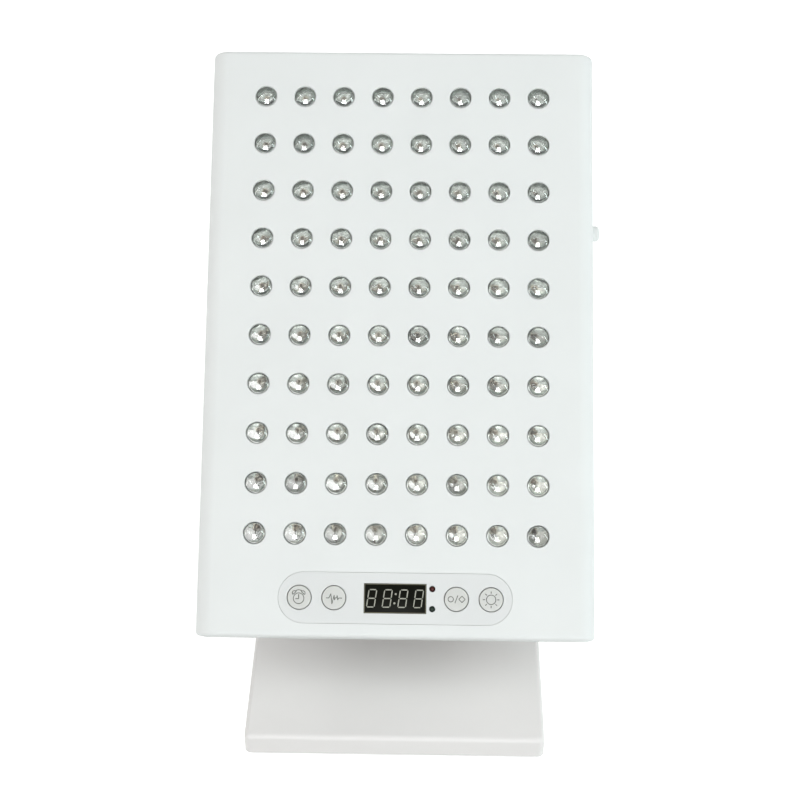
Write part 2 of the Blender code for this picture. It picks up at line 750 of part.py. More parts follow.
def make_driver_board(frame, materials):
    """The lamp driver: a board with its coils, capacitors and socket, facing the heat sink."""
    coil = (13 * MM, 12 * MM, 7 * MM)
    socket_t = 5 * MM
    capacitor_r = 4 * MM
    capacitor_t = 8 * MM
    bm = bmesh.new()
    add_box(bm, DRIVER_X, (DRIVER_Y, DRIVER_Y + BOARD_T), DRIVER_Z)
    board = add_object("driver_board", bm, frame, materials["circuit_board"])
    bm = bmesh.new()
    root = DRIVER_Y + PART_SINK
    width, height, thickness = coil
    for z in (212 * MM, 230 * MM):
        add_part(bm, (-51.5 * MM, z), width, height, root - thickness, root)
    for at in ((-68 * MM, 246 * MM), (-56 * MM, 246 * MM), (-44 * MM, 262 * MM)):
        add_cylinder(bm, capacitor_r, "y", at, root - capacitor_t, root, 10)
    add_part(bm, (-68.5 * MM, 209 * MM), 7 * MM, 10 * MM, root - socket_t, root)
    add_part(bm, (-39 * MM, 205 * MM), 6 * MM, 6 * MM, root - socket_t, root)
    boolean(board, add_helper("driver_parts", bm, frame), "UNION")


def make_power_button(frame, materials):
    """The round push button in the right side wall, and the switch that it presses."""
    axis = add_empty("power_button_axis", frame, (0, BUTTON_Y, BUTTON_Z))
    inner_wall = PANEL_W / 2 - WALL
    tip = PANEL_W / 2 + BUTTON_PROUD
    foot = inner_wall - GAP
    profile = [
        (BUTTON_R + BUTTON_FOOT_OUT, foot - BUTTON_FOOT_T),
        (BUTTON_R + BUTTON_FOOT_OUT, foot),
        (BUTTON_R, foot),
        *arc((BUTTON_R - BUTTON_EDGE, tip - BUTTON_EDGE), BUTTON_EDGE, 0, 90, 2),
    ]
    bm = bmesh.new()
    add_turned(bm, profile, "x", (0, 0), 16)
    add_object("power_button", bm, axis, materials["white_housing"])
    face = foot - BUTTON_FOOT_T - BUTTON_TRAVEL - GAP
    depth = 8 * MM
    tail = 2 * MM
    tail_t = 0.8 * MM
    bm = bmesh.new()
    add_box(bm, (face - depth, face), (-5 * MM, 5 * MM), (-6 * MM, 6 * MM))
    at = (0, BUTTON_Y, BUTTON_Z)
    switch = add_object("power_switch", bm, frame, materials["black_plastic"], at)
    bm = bmesh.new()
    tail_x = (face - depth - tail, face - depth + MM)
    for z in (-3 * MM, 0, 3 * MM):
        add_box(bm, tail_x, (-tail_t / 2, tail_t / 2), (z - tail / 2, z + tail / 2))
    boolean(switch, add_helper("switch_tails", bm, frame, at), "UNION")


def make_inlet(frame, materials):
    """The round low-voltage inlet: a sleeve with a contact pin in its bore."""
    mouth = PANEL_T - 0.1 * MM
    floor = mouth - INLET_BORE_DEPTH
    profile = [
        (INLET_R, mouth - INLET_LENGTH),
        (INLET_R, mouth),
        (INLET_BORE_R, mouth),
        (INLET_BORE_R, floor),
        (INLET_PIN_R, floor),
        (INLET_PIN_R, mouth - 1.5 * INLET_PIN_R),
        (0, mouth - INLET_PIN_R),
    ]
    bm = bmesh.new()
    add_turned(bm, profile, "y", (0, 0), 12)
    add_object("power_inlet", bm, frame, materials["black_plastic"], (INLET_X, 0, INLET_Z))


def smooth_path(points, steps=2):
    """Points on a smooth curve through the given ones."""
    ends = [2 * points[0] - points[1], *points, 2 * points[-1] - points[-2]]
    path = []
    for a, b, c, d in zip(ends, ends[1:], ends[2:], ends[3:]):
        for step in range(steps):
            t = step / steps
            path.append(
                0.5
                * (
                    2 * b
                    + (c - a) * t
                    + (2 * a - 5 * b + 4 * c - d) * t * t
                    + (3 * b - a - 3 * c + d) * t**3
                )
            )
    return path + [points[-1]]


def make_lead(name, route, radius, frame, material):
    """An insulated lead along a route given in millimetres."""
    path = smooth_path([Vector(point) * MM for point in route])
    curve = bpy.data.curves.new(name, "CURVE")
    curve.dimensions = "3D"
    curve.bevel_depth = radius
    curve.bevel_resolution = 1
    curve.use_fill_caps = True
    curve.materials.append(material)
    spline = curve.splines.new("POLY")
    spline.points.add(len(path) - 1)
    for point, spot in zip(spline.points, path):
        point.co = (*spot, 1)
    lead = bpy.data.objects.new(name, curve)
    bpy.context.scene.collection.objects.link(lead)
    lead.parent = frame


def make_leads(frame, materials):
    """The leads between the inlet, the two boards and the fan."""
    jacket = materials["lead_jacket"]
    inlet_route = [(62, 23.4, 24), (62, 21, 24), (57, 18, 20), (49, 17.5, 14), (48, 15.6, 11)]
    make_lead("inlet_lead", inlet_route, 1.2 * MM, frame, jacket)
    lamp_route = [(-48, 15.6, 11), (-48, 19, 13), (-62, 24, 24), (-86, 24, 46), (-88, 23, 90)]
    lamp_route += [(-88, 23, 150), (-86, 23, 185), (-76, 23.5, 203), (-70, 24.2, 208)]
    make_lead("lamp_lead", lamp_route, 1.2 * MM, frame, jacket)
    fan_route = [(-24, 30, 188.8), (-25, 28, 192), (-31, 23.5, 196), (-37, 22, 201), (-39, 24.4, 205)]
    make_lead("fan_lead", fan_route, 0.9 * MM, frame, jacket)


def add_screw(name, frame, material, at, axis, seat, tip, head_t=SCREW_HEAD_T):
    """A pan-head screw on the axis, its head's underside at seat and its end at tip."""
    inwards = 1 if tip > seat else -1
    profile = [
        (0.75 * SCREW_HEAD_R, seat - inwards * head_t),
        (SCREW_HEAD_R, seat),
        (SCREW_R, seat),
        (0.7 * SCREW_R, tip),
    ]
    bm = bmesh.new()
    add_turned(bm, profile, axis, at, SMALL)
    add_object(name, bm, frame, material)


def make_panel_screws(frame, materials):
    """The screws that hold the rear cover on."""
    seat = PANEL_T - COVER_SEAT + GAP
    for number, at in enumerate(boss_places(), start=1):
        add_screw(f"cover_screw_{number}", frame, materials["steel"], at, "y", seat, COVER_SCREW_TIP)


def make_bracket(frame, materials):
    """The panel's half of the hinge: a plate on the rear cover, a neck and a barrel, with its screws."""
    near = PANEL_T + GAP
    far = near + BRACKET_T
    bm = bmesh.new()
    height = BRACKET_HIGH - BRACKET_LOW
    middle = (0, (BRACKET_HIGH + BRACKET_LOW) / 2)
    plate = rounded_rectangle(2 * BRACKET_HALF, height, BRACKET_CORNER_R, 4, middle)
    add_prism(bm, plate, "y", near, far)
    bracket = add_object("hinge_bracket", bm, frame, materials["white_housing"])
    root = far - BRACKET_T / 3  # the neck starts inside the plate
    neck = [(root, AXIS_UP - BARREL_R - NECK_FLARE)]
    neck += arc((AXIS_DEPTH, AXIS_UP), BARREL_R, -90, 90, 8)
    neck += [(root, AXIS_UP + BARREL_R + NECK_FLARE)]
    bm = bmesh.new()
    add_prism(bm, neck, "x", -BARREL_HALF, BARREL_HALF)
    boolean(bracket, add_helper("bracket_neck", bm, frame), "UNION")
    bm = bmesh.new()
    wide = BARREL_HALF + OVER
    add_cylinder(bm, PIN_R + GAP, "x", (AXIS_DEPTH, AXIS_UP), -wide, wide, PIN_SIDES)
    spots = [(x, z) for x in (-BRACKET_SCREW_X, BRACKET_SCREW_X) for z in BRACKET_SCREW_Z]
    for spot in spots:
        add_cylinder(bm, SCREW_R + GAP, "y", spot, near - OVER, far + OVER)
    boolean(bracket, add_helper("bracket_holes", bm, frame))
    steel = materials["steel"]
    for number, spot in enumerate(spots, start=1):
        name = f"bracket_screw_{number}"
        add_screw(name, frame, steel, spot, "y", far + GAP, BRACKET_SCREW_TIP)


def make_post(materials):
    """The stand's half of the hinge: a foot, a tapering web and two ears, cored from behind."""
    foot_low = BASE_TOP + GAP
    foot_high = foot_low + FOOT_T
    outline = [(FOOT_FRONT, foot_low), (FOOT_REAR, foot_low), (FOOT_REAR, foot_high)]
    fillet = (FOOT_REAR - 2 * MM, foot_high + FOOT_FILLET_R)
    outline += arc(fillet, FOOT_FILLET_R, 270, 200, 4)
    outline += arc((AXIS_Y, AXIS_Z), BARREL_R, 10, 180, 8)
    outline += [(AXIS_Y - BARREL_R, AXIS_Z - 6 * MM), (FOOT_FRONT + MM, foot_high + 9 * MM)]
    outline += [(FOOT_FRONT, foot_high)]
    bm = bmesh.new()
    add_prism(bm, outline, "x", -EAR_OUTER, EAR_OUTER)
    post = add_object("stand_post", bm, None, materials["white_housing"])
    bm = bmesh.new()
    add_box(
        bm,
        (-EAR_INNER, EAR_INNER),
        (AXIS_Y - 3 * BARREL_R, AXIS_Y + 4 * BARREL_R),
        (AXIS_Z - BARREL_R - 3 * MM, AXIS_Z + 2 * BARREL_R),
    )
    boolean(post, add_helper("post_slot", bm, None))
    bm = bmesh.new()
    wide = EAR_OUTER + OVER
    add_cylinder(bm, PIN_R + GAP, "x", (AXIS_Y, AXIS_Z), -wide, wide, PIN_SIDES)
    for x in (-FOOT_SCREW_X, FOOT_SCREW_X):
        for y in FOOT_SCREW_Y:
            add_cylinder(bm, SCREW_R + GAP, "z", (x, y), BASE_TOP - OVER, foot_high - MM)
    boolean(post, add_helper("post_holes", bm, None))
    bm = bmesh.new()
    for x in (-CORE_PITCH, 0, CORE_PITCH):
        add_box(
            bm,
            (x - CORE_W / 2, x + CORE_W / 2),
            (AXIS_Y - MM, FOOT_REAR + OVER),
            (foot_high + 8 * MM, AXIS_Z - BARREL_R - 5 * MM),
        )
    boolean(post, add_helper("post_cores", bm, None))


def make_hinge_hardware(materials):
    """The hinge pin, the friction washers between the barrels, and the ears' end caps."""
    axis = (AXIS_Y, AXIS_Z)
    edge = 0.5 * MM
    end = EAR_OUTER - edge
    bm = bmesh.new()
    profile = [(PIN_R - edge, -end), (PIN_R, edge - end)]
    profile += [(PIN_R, end - edge), (PIN_R - edge, end)]
    add_turned(bm, profile, "x", axis, PIN_SIDES)
    add_object("hinge_pin", bm, None, materials["steel"])
    for side, name in ((-1, "left"), (1, "right")):
        bm = bmesh.new()
        near = side * (BARREL_HALF + GAP)
        far = side * (EAR_INNER - GAP)
        add_cylinder(bm, BARREL_R - 1.5 * MM, "x", axis, near, far, 16)
        washer = add_object(f"friction_washer_{name}", bm, None, materials["steel"])
        bm = bmesh.new()
        low, high = sorted((near - side * OVER, far + side * OVER))
        add_cylinder(bm, PIN_R + GAP, "x", axis, low, high, PIN_SIDES)
        boolean(washer, add_helper(f"washer_hole_{name}", bm, None))
        bm = bmesh.new()
        seat = side * (EAR_OUTER + GAP)
        cap_r = BARREL_R - MM
        profile = [(cap_r, seat), (cap_r, seat + side * (CAP_T - CAP_EDGE))]
        profile += [(cap_r - MM, seat + side * CAP_T)]
        add_turned(bm, profile, "x", axis, 16)
        add_object(f"hinge_cap_{name}", bm, None, materials["white_housing"])


def post_screw_places():
    """The places of the four screws that hold the post on the base."""
    return [(x, y) for x in (-FOOT_SCREW_X, FOOT_SCREW_X) for y in FOOT_SCREW_Y]


def cover_screw_places():
    """The places of the four screws that hold the base's cover."""
    ends = (-COVER_SCREW_Y, COVER_SCREW_Y)
    return [(x, y) for x in (-COVER_SCREW_X, COVER_SCREW_X) for y in ends]


def make_base_shell(materials):
    """The base's hollow white shell, with softened top edges and screw bosses."""
    bm = bmesh.new()
    footprint = rounded_rectangle(BASE_W, BASE_D, BASE_CORNER_R, 3)
    add_prism(bm, footprint, "z", BASE_LOW, BASE_TOP)

    def top_edge(p, q):
        return abs(p.z - BASE_TOP) < 1e-6 and abs(q.z - BASE_TOP) < 1e-6

    bevel_where(bm, BASE_EDGE_R, 3, top_edge)
    shell = add_object("base_shell", bm, None, materials["white_housing"])
    half = (BASE_W / 2 - BASE_WALL, BASE_D / 2 - BASE_WALL)
    bm = bmesh.new()
    add_box(bm, (-half[0], half[0]), (-half[1], half[1]), (0, BASE_ROOF_Z))
    boolean(shell, add_helper("base_hollow", bm, None))
    bm = bmesh.new()
    for corner in cover_screw_places():
        add_cylinder(bm, COVER_BOSS_R, "z", corner, COVER_LOW + COVER_T + GAP, BASE_ROOF_Z + MM)
    boolean(shell, add_helper("base_bosses", bm, None), "UNION")
    bm = bmesh.new()
    for corner in cover_screw_places():
        add_cylinder(bm, SCREW_R + GAP, "z", corner, 0, BASE_ROOF_Z - MM)
    for spot in post_screw_places():
        add_cylinder(bm, SCREW_R + GAP, "z", spot, BASE_ROOF_Z - OVER, BASE_TOP + OVER)
    boolean(shell, add_helper("base_holes", bm, None))


def make_base_cover(materials):
    """The plate that closes the base from below, with its screw seats."""
    half = (BASE_W / 2 - BASE_WALL - GAP, BASE_D / 2 - BASE_WALL - GAP)
    seat = COVER_LOW + COVER_SEAT_DEPTH
    bm = bmesh.new()
    add_box(bm, (-half[0], half[0]), (-half[1], half[1]), (COVER_LOW, COVER_LOW + COVER_T))
    cover = add_object("base_cover", bm, None, materials["black_plastic"])
    profile = [(SCREW_R + GAP, COVER_LOW + COVER_T + OVER), (SCREW_R + GAP, seat)]
    profile += [(SCREW_HEAD_R + GAP, seat), (SCREW_HEAD_R + GAP, 0)]
    bm = bmesh.new()
    for corner in cover_screw_places():
        add_turned(bm, profile, "z", corner, SMALL)
    boolean(cover, add_helper("cover_seats", bm, None))


def make_ballast(materials):
    """The steel plate that weighs the base down, with room for the post's screw heads."""
    low = COVER_LOW + COVER_T + GAP
    bm = bmesh.new()
    plate = rounded_rectangle(BALLAST_W, BALLAST_D, 4 * MM, 2)
    add_prism(bm, plate, "z", low, low + BALLAST_T)
    ballast = add_object("ballast_plate", bm, None, materials["steel"])
    bm = bmesh.new()
    for spot in post_screw_places():
        hole_r = SCREW_HEAD_R + 2 * GAP
        add_cylinder(bm, hole_r, "z", spot, low - OVER, low + BALLAST_T + OVER)
    boolean(ballast, add_helper("ballast_holes", bm, None))


def make_pad(materials):
    """The non-slip pad that the base stands on."""
    bm = bmesh.new()
    pad = rounded_rectangle(PAD_W, PAD_D, PAD_CORNER_R, 4)
    add_prism(bm, pad, "z", 0, PAD_T)
    add_object("non_slip_pad", bm, None, materials["rubber"])


def make_base_screws(materials):
    """The screws that hold the post from inside the base, and the cover's flat-headed ones."""
    steel = materials["steel"]
    tip = BASE_TOP + FOOT_T - 1.2 * MM
    for number, spot in enumerate(post_screw_places(), start=1):
        add_screw(f"post_screw_{number}", None, steel, spot, "z", BASE_ROOF_Z - GAP, tip)
    seat = COVER_LOW + COVER_SEAT_DEPTH - GAP
    tip = BASE_ROOF_Z - 2 * MM
    for number, corner in enumerate(cover_screw_places(), start=1):
        add_screw(f"base_screw_{number}", None, steel, corner, "z", seat, tip, 0.5 * MM)


def main():
    """Builds the stand, then the panel in its leaned frame."""
    clear_scene()
    materials = make_materials()
    make_base_shell(materials)
    make_base_cover(materials)
    make_ballast(materials)
    make_pad(materials)
    make_base_screws(materials)
    make_post(materials)
    make_hinge_hardware(materials)
    tilt_axis = add_empty("tilt_axis", None, (0, AXIS_Y, AXIS_Z), -RECLINE)
    frame = add_empty("panel_frame", tilt_axis, (0, -AXIS_DEPTH, -AXIS_UP))
    make_front_housing(frame, materials)
    make_rear_cover(frame, materials)
    make_lamp_strips(frame, materials)
    make_heat_sink(frame, materials)
    make_fan(frame, materials)
    make_control_insert(frame, materials)
    make_keys(frame, materials)
    make_display(frame, materials)
    make_control_board(frame, materials)
    make_buzzer(frame, materials)
    make_driver_board(frame, materials)
    make_power_button(frame, materials)
    make_inlet(frame, materials)
    make_leads(frame, materials)
    make_panel_screws(frame, materials)
    make_bracket(frame, materials)


main()
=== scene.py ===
"""Looks of a tabletop LED light panel that leans back on a tilting stand.

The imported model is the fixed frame. Lengths are in metres, +Z is up and the front faces -Y. The
panel's pieces are modelled in the panel's own frame, x to the right, y into the panel from its
front face and z up from its lower edge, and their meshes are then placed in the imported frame.

GAP is the play between two pieces, OVER is how far a cutter reaches past what it cuts, and
SCREW_HOLE is the radius of every hole that a screw passes.
"""

from __future__ import annotations

import json
import logging
import math
from contextlib import contextmanager
from dataclasses import dataclass, field
from enum import Enum
from typing import Callable, Iterator, Sequence

import bmesh
import bpy
from mathutils import Matrix, Vector

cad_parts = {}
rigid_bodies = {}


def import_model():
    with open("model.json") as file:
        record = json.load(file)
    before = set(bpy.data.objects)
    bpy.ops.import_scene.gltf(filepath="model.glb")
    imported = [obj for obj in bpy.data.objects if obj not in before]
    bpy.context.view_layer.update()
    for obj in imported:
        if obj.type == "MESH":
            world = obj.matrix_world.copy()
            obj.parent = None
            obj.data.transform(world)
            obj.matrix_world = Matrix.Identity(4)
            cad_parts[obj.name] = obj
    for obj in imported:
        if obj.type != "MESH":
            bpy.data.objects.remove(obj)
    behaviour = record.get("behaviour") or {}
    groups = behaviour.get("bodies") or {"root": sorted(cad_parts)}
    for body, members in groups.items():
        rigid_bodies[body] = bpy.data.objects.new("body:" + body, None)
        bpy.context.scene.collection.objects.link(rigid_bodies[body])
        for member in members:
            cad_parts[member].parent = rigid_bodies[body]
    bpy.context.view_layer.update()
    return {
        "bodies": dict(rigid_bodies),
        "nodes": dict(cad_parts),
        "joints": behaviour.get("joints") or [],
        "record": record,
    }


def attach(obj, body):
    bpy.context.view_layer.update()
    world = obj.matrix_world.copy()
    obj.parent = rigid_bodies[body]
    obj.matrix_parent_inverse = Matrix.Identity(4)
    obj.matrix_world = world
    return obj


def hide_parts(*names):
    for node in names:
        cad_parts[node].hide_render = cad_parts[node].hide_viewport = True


LOG = logging.getLogger("light_panel")
MM = 0.001
GAP = 0.35 * MM
MERGE = 1e-6
SAME = 1e-5
OVER = 1 * MM
SCREW_HOLE = 1.8 * MM
SMOOTH_ANGLE = math.radians(35)

Point2 = tuple[float, float]
Point3 = tuple[float, float, float]
Colour = tuple[float, float, float]
EndTest = Callable[[Vector, Vector], bool]
FaceTest = Callable[[Vector, Vector], bool]


class Body(Enum):
    """The bodies that the visible pieces ride on."""

    STAND = "stand"
    PANEL = "panel"
    KEY_TIMER = "key_timer"
    KEY_PULSE = "key_pulse"
    KEY_MODE = "key_mode"
    KEY_BRIGHTNESS = "key_brightness"
    POWER_BUTTON = "power_button"


class Axis(Enum):
    """The direction that a turned or pulled shape runs along."""

    X = 0
    Y = 1
    Z = 2

    @property
    def along(self) -> Vector:
        """The direction as a vector.

        Returns:
            The unit vector.
        """
        unit = Vector((0, 0, 0))
        unit[self.value] = 1
        return unit

    def point(self, a: float, b: float, along: float) -> Vector:
        """A point given across and along the direction.

        Args:
            a: the first coordinate across it.
            b: the second coordinate across it.
            along: the distance along it.

        Returns:
            The point.
        """
        across = [a, b]
        across.insert(self.value, along)
        return Vector(across)


class NodeBench:
    """Adds nodes to one material and links them."""

    def __init__(self, name: str) -> None:
        """Starts a material with one Principled shader.

        Args:
            name: the material's name.
        """
        self.material = bpy.data.materials.new(name)
        self.material.use_nodes = True
        self.nodes = self.material.node_tree.nodes
        self.links = self.material.node_tree.links
        self.shader = self.nodes["Principled BSDF"]

    def set(self, **values: object) -> None:
        """Sets the shader's own sockets, named with underscores for spaces."""
        for name, value in values.items():
            self.shader.inputs[name.replace("_", " ")].default_value = value

    def add(self, kind: str, **settings: object) -> bpy.types.Node:
        """Adds a node and sets its properties or sockets.

        Args:
            kind: the node's type.
            settings: properties of the node, or sockets named with underscores for spaces.

        Returns:
            The new node.
        """
        node = self.nodes.new(kind)
        for name, value in settings.items():
            if hasattr(node, name):
                setattr(node, name, value)
            else:
                node.inputs[name.replace("_", " ")].default_value = value
        return node

    def join(self, source: bpy.types.NodeSocket, target: bpy.types.NodeSocket) -> None:
        """Links one socket to another."""
        self.links.new(source, target)

    def place(self, scale: Point3 = (1, 1, 1)) -> bpy.types.NodeSocket:
        """Object coordinates, stretched by a scale.

        Args:
            scale: how dense the pattern is along each axis.

        Returns:
            The socket of the coordinates.
        """
        coordinates = self.add("ShaderNodeTexCoord")
        mapping = self.add("ShaderNodeMapping")
        mapping.inputs["Scale"].default_value = scale
        self.join(coordinates.outputs["Object"], mapping.inputs["Vector"])
        return mapping.outputs["Vector"]

    def noise(
        self, size: float, detail: float = 2.0, stretch: Point3 = (1, 1, 1)
    ) -> bpy.types.NodeSocket:
        """Adds a noise.

        Args:
            size: how large its blobs are, in metres.
            detail: how many finer layers it has.
            stretch: how dense it is along each axis.

        Returns:
            The socket of its value.
        """
        node = self.add("ShaderNodeTexNoise", Scale=1 / size, Detail=detail)
        self.join(self.place(stretch), node.inputs["Vector"])
        return node.outputs["Fac"]

    def blend(
        self, factor: bpy.types.NodeSocket, first: Colour, second: Colour
    ) -> bpy.types.NodeSocket:
        """Mixes two colours.

        Args:
            factor: 0 for the first colour and 1 for the second.
            first: the first colour.
            second: the second colour.

        Returns:
            The socket of the colour between them.
        """
        node = self.add("ShaderNodeMix", data_type="RGBA")
        node.inputs[6].default_value = (*first, 1)
        node.inputs[7].default_value = (*second, 1)
        self.join(factor, node.inputs[0])
        return node.outputs[2]

    def darken(
        self, colour: bpy.types.NodeSocket, share: bpy.types.NodeSocket
    ) -> bpy.types.NodeSocket:
        """Takes a colour towards black.

        Args:
            colour: the socket of the colour.
            share: 0 for the colour itself and 1 for black.

        Returns:
            The socket of the darker colour.
        """
        node = self.add("ShaderNodeMix", data_type="RGBA")
        node.inputs[7].default_value = (0, 0, 0, 1)
        self.join(colour, node.inputs[6])
        self.join(share, node.inputs[0])
        return node.outputs[2]

    def spread(self, factor: bpy.types.NodeSocket, low: float, high: float) -> bpy.types.NodeSocket:
        """Stretches the middle of a noise, where nearly all of its values are.

        Args:
            factor: the noise's value.
            low: what its low values become.
            high: what its high values become.

        Returns:
            The socket of the new value.
        """
        node = self.add("ShaderNodeMapRange", From_Min=0.3, From_Max=0.7, To_Min=low, To_Max=high)
        self.join(factor, node.inputs["Value"])
        return node.outputs["Result"]

    def relief(self, height: bpy.types.NodeSocket, depth: float) -> None:
        """Raises the surface by a height texture.

        Args:
            height: 0 for the lowest places and 1 for the highest.
            depth: how far apart those are, in metres.
        """
        node = self.add("ShaderNodeBump", Strength=1.0, Distance=depth)
        self.join(height, node.inputs["Height"])
        self.join(node.outputs["Normal"], self.shader.inputs["Normal"])


@dataclass(frozen=True)
class Finish:
    """A moulded finish, whose colour drifts a little and whose skin has a fine grain."""

    name: str
    colour: Colour
    roughness: float
    drift: float = 0.015
    drift_size: float = 40 * MM
    grain: float = 0.006 * MM
    grain_size: float = 0.5 * MM
    coat: float = 0.0
    metallic: float = 0.0
    gloss: float = 0.5
    coat_roughness: float = 0.08
    wear: float = 0.04

    def shades(self) -> tuple[Colour, Colour]:
        """The two ends of the colour's drift.

        Returns:
            The darkest and the lightest colour.
        """
        dark = tuple(c * (1 - self.drift) for c in self.colour)
        light = tuple(min(1.0, c * (1 + self.drift)) for c in self.colour)
        return dark, light

    def build(self) -> bpy.types.Material:
        """Makes the material.

        Returns:
            The material.
        """
        bench = NodeBench(self.name)
        bench.set(Metallic=self.metallic, Specular_IOR_Level=self.gloss)
        bench.set(Coat_Weight=self.coat, Coat_Roughness=self.coat_roughness)
        drift = bench.spread(bench.noise(self.drift_size), 0, 1)
        bench.join(bench.blend(drift, *self.shades()), bench.shader.inputs["Base Color"])
        patches = bench.noise(self.drift_size / 4)
        rough = bench.spread(patches, self.roughness - self.wear, self.roughness + self.wear)
        bench.join(rough, bench.shader.inputs["Roughness"])
        bench.relief(bench.noise(self.grain_size, 3), self.grain)
        return bench.material


@dataclass(frozen=True)
class StreakFinish(Finish):
    """Metal with fine streaks along one direction, as it is drawn, rolled or extruded."""

    stretch: Point3 = (1, 1, 0.02)
    streak: float = 0.4 * MM
    streak_wear: float = 0.1

    def build(self) -> bpy.types.Material:
        """Makes the material.

        Returns:
            The material.
        """
        bench = NodeBench(self.name)
        bench.set(Metallic=self.metallic)
        streaks = bench.noise(self.streak, 4, self.stretch)
        bench.join(bench.blend(streaks, *self.shades()), bench.shader.inputs["Base Color"])
        low, high = self.roughness - self.streak_wear, self.roughness + self.streak_wear
        rough = bench.spread(streaks, low, high)
        bench.join(rough, bench.shader.inputs["Roughness"])
        bench.relief(streaks, self.grain)
        return bench.material


@dataclass(frozen=True)
class BoardFinish(Finish):
    """A circuit board's solder mask, with the raised tracks that show through it."""

    track: Colour = (0.05, 0.25, 0.12)
    track_pitch: float = 2.5 * MM
    track_width: float = 0.08

    def build(self) -> bpy.types.Material:
        """Makes the material.

        Returns:
            The material.
        """
        bench = NodeBench(self.name)
        bench.set(Roughness=self.roughness, Coat_Weight=self.coat)
        tracks = bench.add(
            "ShaderNodeTexBrick", Scale=1 / self.track_pitch, Mortar_Size=self.track_width
        )
        bench.join(bench.place(), tracks.inputs["Vector"])
        colour = bench.blend(tracks.outputs["Fac"], self.colour, self.track)
        bench.join(colour, bench.shader.inputs["Base Color"])
        bench.relief(tracks.outputs["Fac"], self.grain)
        return bench.material


@dataclass(frozen=True)
class DimpledFinish(Finish):
    """Soft rubber with a pattern of small pips."""

    pip_pitch: float = 2.0 * MM

    def build(self) -> bpy.types.Material:
        """Makes the material.

        Returns:
            The material.
        """
        bench = NodeBench(self.name)
        pips = bench.add("ShaderNodeTexVoronoi", Scale=1 / self.pip_pitch, Randomness=0.0)
        bench.join(bench.place(), pips.inputs["Vector"])
        drift = bench.spread(bench.noise(self.drift_size), 0, 1)
        bench.join(bench.blend(drift, *self.shades()), bench.shader.inputs["Base Color"])
        bench.set(Roughness=self.roughness)
        bench.relief(pips.outputs["Distance"], self.grain)
        return bench.material


@dataclass(frozen=True)
class ClearFinish(Finish):
    """Clear moulded acrylic."""

    index: float = 1.49

    def build(self) -> bpy.types.Material:
        """Makes the material.

        Returns:
            The material.
        """
        bench = NodeBench(self.name)
        bench.set(Transmission_Weight=1.0, IOR=self.index)
        drift = bench.spread(bench.noise(self.drift_size), 0, 1)
        bench.join(bench.blend(drift, *self.shades()), bench.shader.inputs["Base Color"])
        rough = bench.spread(bench.noise(self.grain_size, 2), 0.0, self.roughness)
        bench.join(rough, bench.shader.inputs["Roughness"])
        return bench.material


@dataclass(frozen=True)
class SpottedFinish(Finish):
    """Stained metal: patches of a second colour over the first, and some lamps duller.

    A fade draws a broad noise from twice the fade below nothing to the fade above it, so that
    most lamps stay bright and a few lose up to that share of their colour.
    """

    second: Colour = (0.5, 0.5, 0.5)
    patch: float = 0.8 * MM
    fade: float = 0.0
    fade_size: float = 17 * MM

    def build(self) -> bpy.types.Material:
        """Makes the material.

        Returns:
            The material.
        """
        bench = NodeBench(self.name)
        patches = bench.spread(bench.noise(self.patch, 3), 0, 1)
        mixed = bench.blend(patches, self.colour, self.second)
        dull = bench.spread(bench.noise(self.fade_size, 0), -2 * self.fade, self.fade)
        bench.join(bench.darken(mixed, dull), bench.shader.inputs["Base Color"])
        bench.set(Roughness=self.roughness, Coat_Weight=self.coat, Metallic=self.metallic)
        bench.relief(patches, self.grain)
        return bench.material


